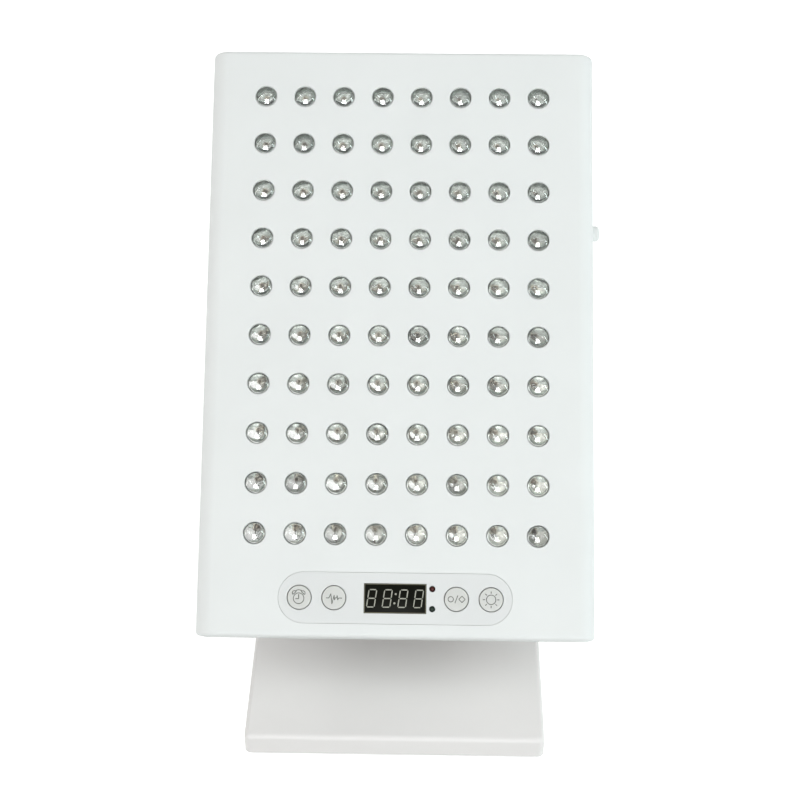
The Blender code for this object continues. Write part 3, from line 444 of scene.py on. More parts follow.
class Finishes:
    """Every finish of the object, made once and shared."""

    LIST = (
        Finish("housing_white", (0.732, 0.748, 0.741), 0.45, drift=0.012, gloss=0.03),
        Finish("insert_white", (0.686, 0.698, 0.694), 0.35, drift=0.01, grain=0.002 * MM, gloss=0.03),
        Finish("key_grey", (0.605, 0.61, 0.588), 0.45, drift=0.02, drift_size=6 * MM, gloss=0.04),
        Finish("base_white", (0.735, 0.72, 0.71), 0.4, drift=0.012, gloss=0.1),
        Finish("ink_grey", (0.13, 0.135, 0.12), 0.6, drift=0.45, drift_size=1.5 * MM, gloss=0.1),
        Finish("display_black", (0.006, 0.0065, 0.0045), 0.35, drift=0.3, gloss=0.012),
        Finish("display_rim", (0.16, 0.15, 0.10), 0.5, drift=0.1, drift_size=4 * MM, gloss=0.1),
        Finish("segment_grey", (0.36, 0.36, 0.31), 0.5, drift=0.12, drift_size=2 * MM, gloss=0.05),
        Finish("indicator_red", (0.065, 0.017, 0.014), 0.3, drift=0.2, drift_size=1 * MM, gloss=0.08),
        Finish("indicator_green", (0.026, 0.040, 0.030), 0.3, drift=0.2, drift_size=1 * MM, gloss=0.08),
        Finish("black_plastic", (0.02, 0.02, 0.021), 0.5, drift=0.2, drift_size=10 * MM),
        Finish("lead_jacket", (0.03, 0.03, 0.03), 0.6, drift=0.2, drift_size=5 * MM),
        Finish("board_white", (0.74, 0.75, 0.73), 0.35, drift=0.03, drift_size=5 * MM, coat=0.3),
        SpottedFinish(
            "reflector", (0.30, 0.33, 0.31), 0.2, metallic=1.0,
            second=(0.53, 0.57, 0.54), patch=1.2 * MM,
        ),
        SpottedFinish(
            "emitter_body", (0.22, 0.24, 0.22), 0.25, metallic=1.0,
            second=(0.50, 0.53, 0.49), patch=0.4 * MM, fade=0.2,
        ),
        StreakFinish("steel", (0.55, 0.55, 0.56), 0.35, drift=0.15, metallic=1.0),
        StreakFinish("aluminium", (0.72, 0.72, 0.73), 0.38, drift=0.12, metallic=1.0),
        BoardFinish("circuit_board", (0.02, 0.12, 0.06), 0.35, grain=0.03 * MM, coat=0.4),
        DimpledFinish("rubber", (0.05, 0.05, 0.05), 0.85, drift=0.2, grain=0.15 * MM),
        ClearFinish("lens_clear", (0.97, 0.98, 0.98), 0.02, drift=0.01),
        SpottedFinish(
            "bright_lead", (0.96, 0.96, 0.94), 0.06, metallic=1.0,
            second=(0.86, 0.86, 0.83), patch=3 * MM, fade=0.45,
        ),
        SpottedFinish(
            "dull_lead", (0.38, 0.38, 0.33), 0.2, metallic=1.0,
            second=(0.90, 0.90, 0.83), patch=0.45 * MM, fade=0.4,
        ),
        SpottedFinish(
            "pad_metal", (0.12, 0.115, 0.095), 0.25, metallic=1.0,
            second=(0.53, 0.50, 0.41), patch=0.24 * MM, fade=0.3,
        ),
        SpottedFinish(
            "chip_dark", (0.006, 0.006, 0.006), 0.3, metallic=1.0,
            second=(0.26, 0.22, 0.17), patch=0.16 * MM, fade=0.6,
        ),
    )

    def __init__(self) -> None:
        """Builds each material once."""
        self.made = {finish.name: finish.build() for finish in self.LIST}

    def __getitem__(self, name: str) -> bpy.types.Material:
        """The material of this name."""
        return self.made[name]


def deselect() -> None:
    """Deselects every object."""
    for obj in bpy.context.view_layer.objects:
        obj.select_set(False)


def pick(obj: bpy.types.Object) -> None:
    """Makes one object active and the only one selected.

    Args:
        obj: the object.
    """
    deselect()
    obj.select_set(True)
    bpy.context.view_layer.objects.active = obj


def apply_place(obj: bpy.types.Object) -> None:
    """Moves the object's place, turn and scale into its mesh."""
    pick(obj)
    bpy.ops.object.transform_apply(location=True, rotation=True, scale=True)


@contextmanager
def editing(obj: bpy.types.Object, mode: str = "EDGE") -> Iterator[None]:
    """Edit mode on one object, with nothing selected at first.

    Args:
        obj: the mesh object to edit.
        mode: the kind of element that is selected.
    """
    pick(obj)
    bpy.ops.object.mode_set(mode="EDIT")
    bpy.ops.mesh.select_mode(type=mode)
    bpy.ops.mesh.select_all(action="DESELECT")
    try:
        yield
    finally:
        bpy.ops.object.mode_set(mode="OBJECT")


def select_edges(obj: bpy.types.Object, wanted: EndTest) -> None:
    """Selects edges in edit mode.

    Args:
        obj: the object that is edited.
        wanted: whether an edge between these two ends is selected.
    """
    mesh = bmesh.from_edit_mesh(obj.data)
    for edge in mesh.edges:
        edge.select_set(wanted(edge.verts[0].co, edge.verts[1].co))
    bmesh.update_edit_mesh(obj.data)


def select_faces(obj: bpy.types.Object, wanted: FaceTest) -> None:
    """Selects faces in edit mode.

    Args:
        obj: the object that is edited.
        wanted: whether a face with this middle and this normal is selected.
    """
    mesh = bmesh.from_edit_mesh(obj.data)
    for face in mesh.faces:
        face.select_set(wanted(face.calc_center_median(), face.normal))
    bmesh.update_edit_mesh(obj.data)


def same(a: float, b: float) -> bool:
    """Whether two lengths are the same."""
    return abs(a - b) < SAME


def round_edges(obj: bpy.types.Object, width: float, segments: int, wanted: EndTest) -> None:
    """Rounds edges.

    Args:
        obj: the object.
        width: how far from the edge the rounding starts.
        segments: how many faces it has across.
        wanted: whether an edge between these two ends is rounded.
    """
    with editing(obj):
        select_edges(obj, wanted)
        bpy.ops.mesh.bevel(offset=width, segments=segments, profile=0.5, affect="EDGES")


def arc(centre: Point2, radius: float, start: float, end: float, steps: int) -> list[Point2]:
    """Points on an arc between two angles in degrees, both ends included."""
    angles = (math.radians(start + (end - start) * i / steps) for i in range(steps + 1))
    return [(centre[0] + radius * math.cos(t), centre[1] + radius * math.sin(t)) for t in angles]


def rounded_rectangle(
    width: float, height: float, radius: float, steps: int, centre: Point2 = (0, 0)
) -> list[Point2]:
    """A rectangle's outline with its corners rounded.

    Args:
        width: its size along the first axis.
        height: its size along the second.
        radius: the corners' radius.
        steps: how many lines each corner has.
        centre: its middle.

    Returns:
        The outline, without the first point again at its end.
    """
    across = width / 2 - radius
    up = height / 2 - radius
    points: list[Point2] = []
    for sign_a, sign_b, start in ((1, 1, 0), (-1, 1, 90), (-1, -1, 180), (1, -1, 270)):
        corner = (centre[0] + sign_a * across, centre[1] + sign_b * up)
        points += arc(corner, radius, start, start + 90, steps)
    return [p for i, p in enumerate(points) if math.dist(p, points[i - 1]) > MERGE]


def block(name: str, low: Sequence[float], high: Sequence[float]) -> bpy.types.Object:
    """Adds a cube between two corners.

    Args:
        name: the object's name.
        low: the corner with the smallest x, y and z.
        high: the corner with the largest.

    Returns:
        The block.
    """
    low, high = Vector(low), Vector(high)
    deselect()
    bpy.ops.mesh.primitive_cube_add(size=1, location=(low + high) / 2)
    obj = bpy.context.active_object
    obj.name = name
    obj.scale = high - low
    apply_place(obj)
    return obj


def drum(
    name: str, radius: float, axis: Axis, centre: Point2, low: float, high: float, sides: int = 48
) -> bpy.types.Object:
    """Adds a cylinder.

    Args:
        name: the object's name.
        radius: its radius.
        axis: the direction that it runs along.
        centre: its place across that direction.
        low: where it starts.
        high: where it ends.
        sides: how many sides the round has.

    Returns:
        The cylinder.
    """
    right = math.pi / 2
    turn = {Axis.X: (0, right, 0), Axis.Y: (right, 0, 0), Axis.Z: (0, 0, 0)}[axis]
    deselect()
    bpy.ops.mesh.primitive_cylinder_add(
        vertices=sides,
        radius=radius,
        depth=abs(high - low),
        location=axis.point(*centre, (low + high) / 2),
        rotation=turn,
    )
    obj = bpy.context.active_object
    obj.name = name
    apply_place(obj)
    return obj


def chain(name: str, points: Sequence[Vector]) -> bpy.types.Object:
    """Extrudes one vertex from point to point.

    Args:
        name: the object's name.
        points: the way that the vertex takes.

    Returns:
        A line of edges.
    """
    deselect()
    bpy.ops.mesh.primitive_plane_add(size=MM, location=points[0])
    obj = bpy.context.active_object
    obj.name = name
    with editing(obj, "VERT"):
        bpy.ops.mesh.select_all(action="SELECT")
        bpy.ops.mesh.merge(type="CENTER")
        for here, there in zip(points, points[1:]):
            bpy.ops.mesh.extrude_region_move(TRANSFORM_OT_translate={"value": there - here})
    apply_place(obj)
    return obj


def outlined(
    name: str, outline: Sequence[Point2], axis: Axis, low: float, high: float
) -> bpy.types.Object:
    """Fills an outline and pulls it along an axis.

    Args:
        name: the object's name.
        outline: its corners, across the axis.
        axis: the direction that it is pulled along.
        low: where it starts.
        high: where it ends.

    Returns:
        The closed solid.
    """
    points = [axis.point(a, b, low) for a, b in [*outline, outline[0]]]
    obj = chain(name, points)
    with editing(obj, "VERT"):
        bpy.ops.mesh.select_all(action="SELECT")
        bpy.ops.mesh.remove_doubles(threshold=MERGE)
        bpy.ops.mesh.edge_face_add()
        bpy.ops.mesh.extrude_region_move(TRANSFORM_OT_translate={"value": axis.along * (high - low)})
        bpy.ops.mesh.select_all(action="SELECT")
        bpy.ops.mesh.normals_make_consistent(inside=False)
    return obj


def turned(
    name: str, profile: Sequence[Point2], axis: Axis, centre: Point2 = (0, 0), steps: int = 48
) -> bpy.types.Object:
    """A profile of (radius, distance along) pairs spun about an axis.

    Args:
        name: the object's name.
        profile: a line that starts and ends on the axis, or a closed one.
        axis: the axis's direction.
        centre: the axis's place across that direction.
        steps: how many sides the round has.

    Returns:
        The closed solid.
    """
    obj = chain(name, [axis.point(centre[0] + radius, centre[1], along) for radius, along in profile])
    with editing(obj, "VERT"):
        bpy.ops.mesh.select_all(action="SELECT")
        bpy.ops.mesh.spin(
            steps=steps, angle=2 * math.pi, center=axis.point(*centre, 0), axis=axis.along
        )
        bpy.ops.mesh.select_all(action="SELECT")
        bpy.ops.mesh.remove_doubles(threshold=MERGE)
        bpy.ops.mesh.normals_make_consistent(inside=False)
    return obj


def combine(obj: bpy.types.Object, others: Sequence[bpy.types.Object], operation: str) -> None:
    """Cuts other objects from this one, or welds them on, and removes them.

    Args:
        obj: the object that stays.
        others: the objects that are used up.
        operation: the boolean's name for it.
    """
    for other in others:
        modifier = obj.modifiers.new("Combine", "BOOLEAN")
        modifier.operation = operation
        modifier.solver = "EXACT"
        modifier.object = other
        pick(obj)
        bpy.ops.object.modifier_apply(modifier=modifier.name)
        bpy.data.objects.remove(other)


def carve(obj: bpy.types.Object, *cutters: bpy.types.Object) -> None:
    """Cuts the cutters from the object."""
    combine(obj, cutters, "DIFFERENCE")


def weld(obj: bpy.types.Object, *others: bpy.types.Object) -> None:
    """Welds the others to the object."""
    combine(obj, others, "UNION")


def spread(obj: bpy.types.Object, places: Sequence[Vector]) -> bpy.types.Object:
    """Copies an object to each place and removes the first.

    Args:
        obj: the object, modelled at the origin.
        places: where its copies go.

    Returns:
        The copies, joined.
    """
    copies = []
    for place in places:
        copy = obj.copy()
        copy.data = obj.data.copy()
        copy.location = place
        bpy.context.scene.collection.objects.link(copy)
        copies.append(copy)
    bpy.data.objects.remove(obj)
    return unite(copies)


def unite(objects: Sequence[bpy.types.Object]) -> bpy.types.Object:
    """Joins objects into the first of them.

    Args:
        objects: the objects.

    Returns:
        The first, with its place in its mesh.
    """
    deselect()
    for obj in objects:
        obj.select_set(True)
    bpy.context.view_layer.objects.active = objects[0]
    bpy.ops.object.join()
    apply_place(objects[0])
    return objects[0]


@dataclass
class Workshop:
    """What every sub-assembly shares: the finishes, the frame and the panel's place in it."""

    frame: dict
    finishes: Finishes
    axis_up: float = 32 * MM
    axis_depth: float = 52 * MM
    pieces: list[str] = field(default_factory=list)

    def joint(self, name: str) -> dict:
        """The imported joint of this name."""
        return next(j for j in self.frame["joints"] if j["name"] == name)

    @property
    def recline(self) -> float:
        """How far the panel leans back, from the direction into its face."""
        inwards = Vector(self.joint("fan_spin")["axis"])
        return math.atan2(-inwards.z, inwards.y)

    @property
    def panel_place(self) -> Matrix:
        """The panel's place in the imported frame.

        Returns:
            What takes the panel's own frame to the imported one.
        """
        hinge = Matrix.Translation(self.joint("panel_tilt")["pos_m"])
        lean = Matrix.Rotation(-self.recline, 4, "X")
        return hinge @ lean @ Matrix.Translation((0, -self.axis_depth, -self.axis_up))

    def dress(
        self,
        obj: bpy.types.Object,
        body: Body,
        finish: str,
        slot: str,
        replaces: Sequence[str] = (),
        in_panel: bool = True,
        smooth: float = SMOOTH_ANGLE,
    ) -> bpy.types.Object:
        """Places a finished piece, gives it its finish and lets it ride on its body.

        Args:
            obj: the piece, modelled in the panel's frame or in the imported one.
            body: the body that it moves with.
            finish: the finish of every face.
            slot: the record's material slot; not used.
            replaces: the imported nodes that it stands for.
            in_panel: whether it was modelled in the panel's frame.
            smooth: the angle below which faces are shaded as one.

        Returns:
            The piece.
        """
        if in_panel:
            obj.matrix_world = self.panel_place
            apply_place(obj)
        obj.data.materials.clear()
        obj.data.materials.append(self.finishes[finish])
        pick(obj)
        bpy.ops.object.shade_smooth_by_angle(angle=smooth)
        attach(obj, body.value)
        if replaces:
            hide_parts(*replaces)
        self.pieces.append(obj.name)
        LOG.info("%s rides on %s", obj.name, body.value)
        return obj

    def repaint(self, finish: str, *nodes: str) -> None:
        """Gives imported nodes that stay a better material.

        Args:
            finish: the finish of every face.
            nodes: the nodes' names.
        """
        for node in nodes:
            for material_slot in self.frame["nodes"][node].material_slots:
                material_slot.material = self.finishes[finish]
            LOG.info("%s keeps its packed shape", node)


def flatten_normals(obj: bpy.types.Object) -> None:
    """Lets large flat faces keep their own normals beside rounded edges.

    Args:
        obj: the object.
    """
    modifier = obj.modifiers.new("Normals", "WEIGHTED_NORMAL")
    modifier.keep_sharp = True
    pick(obj)
    bpy.ops.object.modifier_apply(modifier=modifier.name)


@dataclass
class PanelShell:
    """Sizes that the panel's two mouldings share."""

    width: float = 196.5 * MM
    height: float = 300 * MM
    thickness: float = 38 * MM
    wall: float = 2.2 * MM
    parting: float = 24 * MM
    end_radius: float = 2.2 * MM
    end_segments: int = 5
    boss_x: float = 86 * MM
    boss_inset: float = 12 * MM
    edge_segments: int = 14

    def tray(self, name: str, near: float, far: float, radius: float) -> bpy.types.Object:
        """A tray with rounded long edges and softened ends, hollow and open at far.

        Args:
            name: the object's name.
            near: the depth of the closed face.
            far: the depth of the open rim.
            radius: the long edges' radius.

        Returns:
            The tray.
        """
        half = self.width / 2
        low, high = sorted((near, far))
        tray = block(name, (-half, low, 0), (half, high, self.height))
        round_edges(
            tray, radius, self.edge_segments,
            lambda p, q: same(p.y, near) and same(q.y, near) and not same(p.z, q.z),
        )
        round_edges(
            tray, self.end_radius, self.end_segments,
            lambda p, q: same(p.z, q.z)
            and (same(p.z, 0) or same(p.z, self.height))
            and not (same(p.y, far) and same(q.y, far)),
        )
        inwards = 1 if far > near else -1
        inner = half - self.wall
        floor = near + inwards * self.wall
        ends = sorted((floor, far + inwards * OVER))
        top = self.height - self.wall
        hollow = block("hollow", (-inner, ends[0], self.wall), (inner, ends[1], top))
        round_edges(
            hollow, radius - self.wall, self.edge_segments,
            lambda p, q: same(p.y, floor) and same(q.y, floor) and not same(p.z, q.z),
        )
        carve(tray, hollow)
        return tray

    def bosses(self) -> list[Point2]:
        """The four corners where the two mouldings are screwed together."""
        ends = (self.boss_inset, self.height - self.boss_inset)
        return [(x, z) for x in (-self.boss_x, self.boss_x) for z in ends]


@dataclass
class LampGrid:
    """Places of the lamps on the panel's face."""

    rows: int = 10
    columns: int = 8
    pitch_x: float = 20 * MM
    pitch_z: float = 25 * MM
    centre_z: float = 163 * MM

    def x(self, column: int) -> float:
        """A column's place across the panel."""
        return (column - (self.columns - 1) / 2) * self.pitch_x

    def z(self, row: int) -> float:
        """A row's height, counted from the top row."""
        return self.centre_z + ((self.rows - 1) / 2 - row) * self.pitch_z


@dataclass
class ControlLayout:
    """Places and sizes of the controls on the panel's face."""

    centre_z: float = 19.2 * MM
    pill_width: float = 115 * MM
    pill_height: float = 25.2 * MM
    key_hole_radius: float = 6.15 * MM
    key_radius: float = 5.75 * MM
    key_proud: float = 0.4 * MM
    inner_key_x: float = 30 * MM
    key_pitch: float = 17 * MM
    display_width: float = 30.2 * MM
    display_height: float = 14.2 * MM
    indicator_x: float = 18.2 * MM
    indicator_up: float = 4.9 * MM
    indicator_radius: float = 1.35 * MM

    def key_places(self) -> dict[Body, float]:
        """The four keys.

        Returns:
            Each key's body and its place across the panel.
        """
        outer = self.inner_key_x + self.key_pitch
        return {
            Body.KEY_TIMER: -outer,
            Body.KEY_PULSE: -self.inner_key_x,
            Body.KEY_MODE: self.inner_key_x,
            Body.KEY_BRIGHTNESS: outer,
        }

    def pill(self, inset: float) -> list[Point2]:
        """The pill's outline.

        Args:
            inset: how far it is drawn in, or out where it is negative.

        Returns:
            The outline's points.
        """
        height = self.pill_height - 2 * inset
        return rounded_rectangle(
            self.pill_width - 2 * inset, height, height / 2, 24, (0, self.centre_z)
        )


@dataclass
class RearFixings:
    """Places on the panel's back that the cover and its hardware share."""

    screw_x: float = 23 * MM
    screw_z: tuple[float, ...] = (16 * MM, 53 * MM)
    inlet_at: Point2 = (62 * MM, 24 * MM)
    inlet_radius: float = 4.9 * MM

    def bracket_screws(self) -> list[Point2]:
        """The places of the four screws that hold the hinge's bracket."""
        return [(x, z) for x in (-self.screw_x, self.screw_x) for z in self.screw_z]


@dataclass
class FrontHousing:
    """The white front moulding, with its lens holes and control opening."""

    shop: Workshop
    shell: PanelShell
    grid: LampGrid
    controls: ControlLayout
    button: PowerButton
    edge_radius: float = 8 * MM
    hole_radius: float = 5.5 * MM
    hole_chamfer: float = 0.25 * MM
    pillar_radius: float = 4 * MM

    def build(self) -> None:
        """Models the moulding and dresses it."""
        shell = self.shell
        housing = shell.tray("front_moulding", 0, shell.parting, self.edge_radius)
        root, end = shell.wall / 2, shell.thickness - shell.wall - GAP
        pillars = [
            drum("pillar", self.pillar_radius, Axis.Y, at, root, end, 24) for at in shell.bosses()
        ]
        weld(housing, *pillars)
        pill = outlined("pill", self.controls.pill(0), Axis.Y, -OVER, shell.wall + OVER)
        side = drum(
            "side_hole", self.button.radius + GAP, Axis.X, (self.button.y, self.button.z),
            shell.width / 2 - 2 * shell.wall, shell.width / 2 + OVER, 48,
        )
        carve(housing, self.lens_cutters(), pill, side)
        self.shop.dress(
            housing, Body.PANEL, "housing_white", "white_housing", ["front_housing"]
        )
        flatten_normals(housing)

    def lens_cutters(self) -> bpy.types.Object:
        """Eighty drills with a chamfer at the face.

        Returns:
            The drills as one object.
        """
        radius = self.hole_radius
        profile = [
            (0, -OVER),
            (radius + self.hole_chamfer + OVER, -OVER),
            (radius, self.hole_chamfer),
            (radius, self.shell.wall + OVER),
            (0, self.shell.wall + OVER),
        ]
        drill = turned("drill", profile, Axis.Y, steps=48)
        places = [
            Vector((self.grid.x(column), 0, self.grid.z(row)))
            for row in range(self.grid.rows)
            for column in range(self.grid.columns)
        ]
        return spread(drill, places)


@dataclass
class RearCover:
    """The rear tray, with its fan grille, vents, screw seats and inlet hole."""

    shop: Workshop
    shell: PanelShell
    fixings: RearFixings
    edge_radius: float = 6 * MM
    fan_z: float = 158 * MM
    spoke: float = 2.8 * MM
    ring_width: float = 4 * MM
    ring_radii: tuple[float, ...] = (7 * MM, 13.5 * MM, 20 * MM)
    vent_width: float = 64 * MM
    vent_height: float = 3 * MM
    vent_pitch: float = 8 * MM
    vent_middles: tuple[float, ...] = (86 * MM, -66 * MM)
    vents_per_block: int = 4
    seat_radius: float = 3.5 * MM
    seat_depth: float = 1 * MM

    def build(self) -> None:
        """Models the cover and dresses it."""
        shell = self.shell
        cover = shell.tray("rear_moulding", shell.thickness, shell.parting + GAP, self.edge_radius)
        outer = shell.thickness + OVER
        inner = shell.thickness - 2 * shell.wall
        seat = shell.thickness - self.seat_depth
        cutters = self.grille(inner, outer) + self.vents(inner, outer)
        for at in shell.bosses():
            cutters.append(drum("screw_seat", self.seat_radius, Axis.Y, at, seat, outer, 32))
            cutters.append(drum("screw_hole", SCREW_HOLE, Axis.Y, at, inner, outer, 24))
        for at in self.fixings.bracket_screws():
            cutters.append(drum("bracket_hole", SCREW_HOLE, Axis.Y, at, inner, outer, 24))
        socket = self.fixings.inlet_radius + GAP
        cutters.append(
            drum("inlet_hole", socket, Axis.Y, self.fixings.inlet_at, inner, outer, 48)
        )
        carve(cover, unite(cutters))
        self.shop.dress(cover, Body.PANEL, "housing_white", "white_housing", ["rear_cover"])
        flatten_normals(cover)

    def grille(self, inner: float, outer: float) -> list[bpy.types.Object]:
        """Rings of arched slots, left joined by four spokes.

        Args:
            inner: how deep in the panel the slots start.
            outer: how deep they end.

        Returns:
            The slots' cutters.
        """
        slots = []
        for radius in self.ring_radii:
            middle = radius + self.ring_width / 2
            trim = math.degrees(self.spoke / 2 / middle)
            for quarter in range(4):
                start = 45 + 90 * quarter + trim
                end = 45 + 90 * (quarter + 1) - trim
                outline = arc((0, self.fan_z), radius + self.ring_width, start, end, 20)
                outline += arc((0, self.fan_z), radius, end, start, 20)
                slots.append(outlined("slot", outline, Axis.Y, inner, outer))
        return slots

    def vents(self, inner: float, outer: float) -> list[bpy.types.Object]:
        """Two blocks of level slots with rounded corners.

        Args:
            inner: how deep in the panel the slots start.
            outer: how deep they end.

        Returns:
            The slots' cutters.
        """
        slots = []
        for middle in self.vent_middles:
            for level in range(self.vents_per_block):
                up = (level - (self.vents_per_block - 1) / 2) * self.vent_pitch
                z = self.fan_z + middle + up
                outline = rounded_rectangle(self.vent_width, self.vent_height, MM, 5, (0, z))
                slots.append(outlined("vent", outline, Axis.Y, inner, outer))
        return slots


@dataclass
class LampField:
    """The lamps: in each row a board, reflectors, emitters and clear domed lenses."""

    shop: Workshop
    grid: LampGrid
    lens_radius: float = 5.12 * MM
    lens_rise: float = 1.8 * MM
    lens_rim: float = 0.9 * MM
    lens_rear_radius: float = 4.6 * MM
    lens_rear_curve: float = 4.6 * MM
    lens_rear_slope: float = 0.6
    cup_mouth: float = 1.05 * MM
    cup_floor: float = 2.45 * MM
    cup_rim_inset: float = 0.2 * MM
    cup_lift: float = 0.05 * MM
    cup_wall: float = 0.15 * MM
    cup_curve: float = 0.6
    board_y: float = 7 * MM
    board_thickness: float = 1.6 * MM
    board_width: float = 152 * MM
    board_height: float = 12 * MM
    board_corner: float = 2 * MM
    board_hole_radius: float = 1.6 * MM
    board_hole_x: tuple[float, ...] = (-40 * MM, 0, 40 * MM)
    emitter: float = 5.6 * MM
    emitter_thickness: float = 1.6 * MM
    emitter_corner: float = 0.4 * MM
    well_radius: float = 2.4 * MM
    well_depth: float = 0.4 * MM
    well_flare: float = 0.15 * MM
    lead_radius: float = 2.2 * MM
    lead_top: float = 1.15 * MM
    lead_split: float = -0.02 * MM
    lead_gap: float = 0.12 * MM
    lead_thickness: float = 0.06 * MM
    pad_at: Point2 = (-0.26 * MM, 1.16 * MM)
    pad_radius: float = 0.5 * MM
    pad_groove: tuple[float, ...] = (0.12 * MM, 0.11 * MM, 0.06 * MM, 0.05 * MM)
    chip: float = 0.48 * MM
    chip_height: float = 0.12 * MM
    contact_height: float = 0.04 * MM
    wire_radius: float = 0.065 * MM
    wire_crest: Point2 = (0.04 * MM, -0.7 * MM)
    wire_foot: float = -0.9 * MM

    def build(self) -> None:
        """Models each kind of piece once and copies it along the rows."""
        for row in range(self.grid.rows):
            self.row(row)

    def row(self, row: int) -> None:
        """Makes the pieces of one row.

        Args:
            row: the row, counted from the top one.
        """
        number = f"{row + 1:02d}"
        z = self.grid.z(row)
        places = [Vector((self.grid.x(column), 0, z)) for column in range(self.grid.columns)]
        board = self.board(f"lamp_board_{number}", z)
        self.shop.dress(board, Body.PANEL, "board_white", "lamp", [f"lamp_strip_{number}"])
        for name, make, finish in (
            ("reflectors", self.cup, "reflector"),
            ("emitters", self.emitter_body, "emitter_body"),
            ("wide_leads", self.wide_lead, "bright_lead"),
            ("narrow_leads", self.narrow_lead, "dull_lead"),
            ("pads", self.pad, "pad_metal"),
            ("chips", self.chip_and_wire, "chip_dark"),
            ("lenses", self.lens, "lens_clear"),
        ):
            pieces = spread(make("first"), places)
            pieces.name = f"{name}_{number}"
            self.shop.dress(pieces, Body.PANEL, finish, "lamp")

    def board(self, name: str, z: float) -> bpy.types.Object:
        """A narrow board with rounded corners and mounting holes.

        Args:
            name: the object's name.
            z: the row's height.

        Returns:
            The board.
        """
        size = (self.board_width, self.board_height)
        outline = rounded_rectangle(*size, self.board_corner, 6, (0, z))
        face, back = self.board_y, self.board_y + self.board_thickness
        board = outlined(name, outline, Axis.Y, face, back)
        holes = [
            drum("hole", self.board_hole_radius, Axis.Y, (x, z), face - OVER, back + OVER, 24)
            for x in self.board_hole_x
        ]
        carve(board, *holes)
        return board

    def lens(self, name: str) -> bpy.types.Object:
        """A clear lens: a low dome in front, a thin rim, and a pointed dome behind.

        Args:
            name: the object's name.

        Returns:
            The lens.
        """
        front = cap_arc(self.lens_radius, -self.lens_rise, 12)
        knee = self.lens_rear_slope * self.lens_rear_curve
        steps = 14
        rear = []
        for step in range(steps + 1):
            radius = self.lens_rear_radius * (1 - step / steps)
            drop = self.lens_rear_slope * knee * (math.sqrt(1 + (radius / knee) ** 2) - 1)
            rear.append((radius, -drop))
        lift = self.lens_rim - rear[0][1]
        rear = [(radius, along + lift) for radius, along in rear]
        profile = [*front, (self.lens_radius, self.lens_rim), *rear]
        return turned(name, profile, Axis.Y, steps=40)

    def cup(self, name: str) -> bpy.types.Object:
        """A thin reflector that opens towards the lens.

        Args:
            name: the object's name.

        Returns:
            The reflector.
        """
        flare = self.lens_radius - self.cup_rim_inset - self.cup_floor
        depth = self.board_y - self.emitter_thickness - self.cup_lift - self.cup_mouth
        steps = 8
        inner = []
        for step in range(steps + 1):
            share = step / steps
            radius = self.cup_floor + flare * share**self.cup_curve
            inner.append((radius, self.cup_mouth + depth * (1 - share)))
        outer = [(radius + self.cup_wall, along) for radius, along in reversed(inner)]
        return turned(name, [*inner, *outer, inner[0]], Axis.Y, steps=40)

    @property
    def well_floor(self) -> float:
        """How deep in the panel the floor of the emitter's well is."""
        return self.board_y - self.emitter_thickness + self.well_depth

    def emitter_body(self, name: str) -> bpy.types.Object:
        """The emitter's square body on the board, with a flared well.

        Args:
            name: the object's name.

        Returns:
            The body.
        """
        half = self.emitter / 2
        top = self.board_y - self.emitter_thickness
        mouth = top - 0.1 * OVER
        body = block(name, (-half, top, -half), (half, self.board_y, half))
        round_edges(body, self.emitter_corner, 3, lambda p, q: not same(p.y, q.y))
        profile = [(0, mouth), (self.well_radius, mouth)]
        profile += [(self.well_radius - self.well_flare, self.well_floor), (0, self.well_floor)]
        carve(body, turned("well", profile, Axis.Y, steps=32))
        return body

    def lead_plate(self, name: str, outline: Sequence[Point2]) -> bpy.types.Object:
        """A thin plate on the well's floor, with a softened edge.

        Args:
            name: the object's name.
            outline: its outline, from the lamp's middle.

        Returns:
            The plate.
        """
        low = self.well_floor - self.lead_thickness
        plate = outlined(name, outline, Axis.Y, low, self.well_floor)
        round_edges(plate, self.lead_thickness / 2, 2, lambda p, q: same(p.y, low) and same(q.y, low))
        return plate

    def wide_lead(self, name: str) -> bpy.types.Object:
        """The polished lead that fills the well's left.

        Args:
            name: the object's name.

        Returns:
            The lead.
        """
        start = math.degrees(math.asin(self.lead_top / self.lead_radius))
        end = 360 - math.degrees(math.acos(self.lead_split / self.lead_radius))
        outline = arc((0, 0), self.lead_radius, 180 - start, end, 36)
        return self.lead_plate(name, [*outline, (self.lead_split, self.lead_top)])

    def narrow_lead(self, name: str) -> bpy.types.Object:
        """The duller lead at the well's right, past a narrow gap.

        Args:
            name: the object's name.

        Returns:
            The lead.
        """
        edge = self.lead_split + self.lead_gap
        start = -math.degrees(math.acos(edge / self.lead_radius))
        end = math.degrees(math.asin(self.lead_top / self.lead_radius))
        outline = arc((0, 0), self.lead_radius, start, end, 24)
        return self.lead_plate(name, [*outline, (edge, self.lead_top)])

    def pad(self, name: str) -> bpy.types.Object:
        """The round pad that carries the emitter's chip, with a groove round its edge.

        Args:
            name: the object's name.

        Returns:
            The pad.
        """
        low = self.well_floor - 2.5 * self.lead_thickness
        floor = low + self.lead_thickness
        radius = self.pad_radius
        profile = [(0, low)]
        for inset, along in zip(self.pad_groove, (low, floor, floor, low)):
            profile.append((radius - inset, along))
        profile += [(radius, low), (radius, self.well_floor), (0, self.well_floor)]
        return turned(name, profile, Axis.Y, self.pad_at, 32)

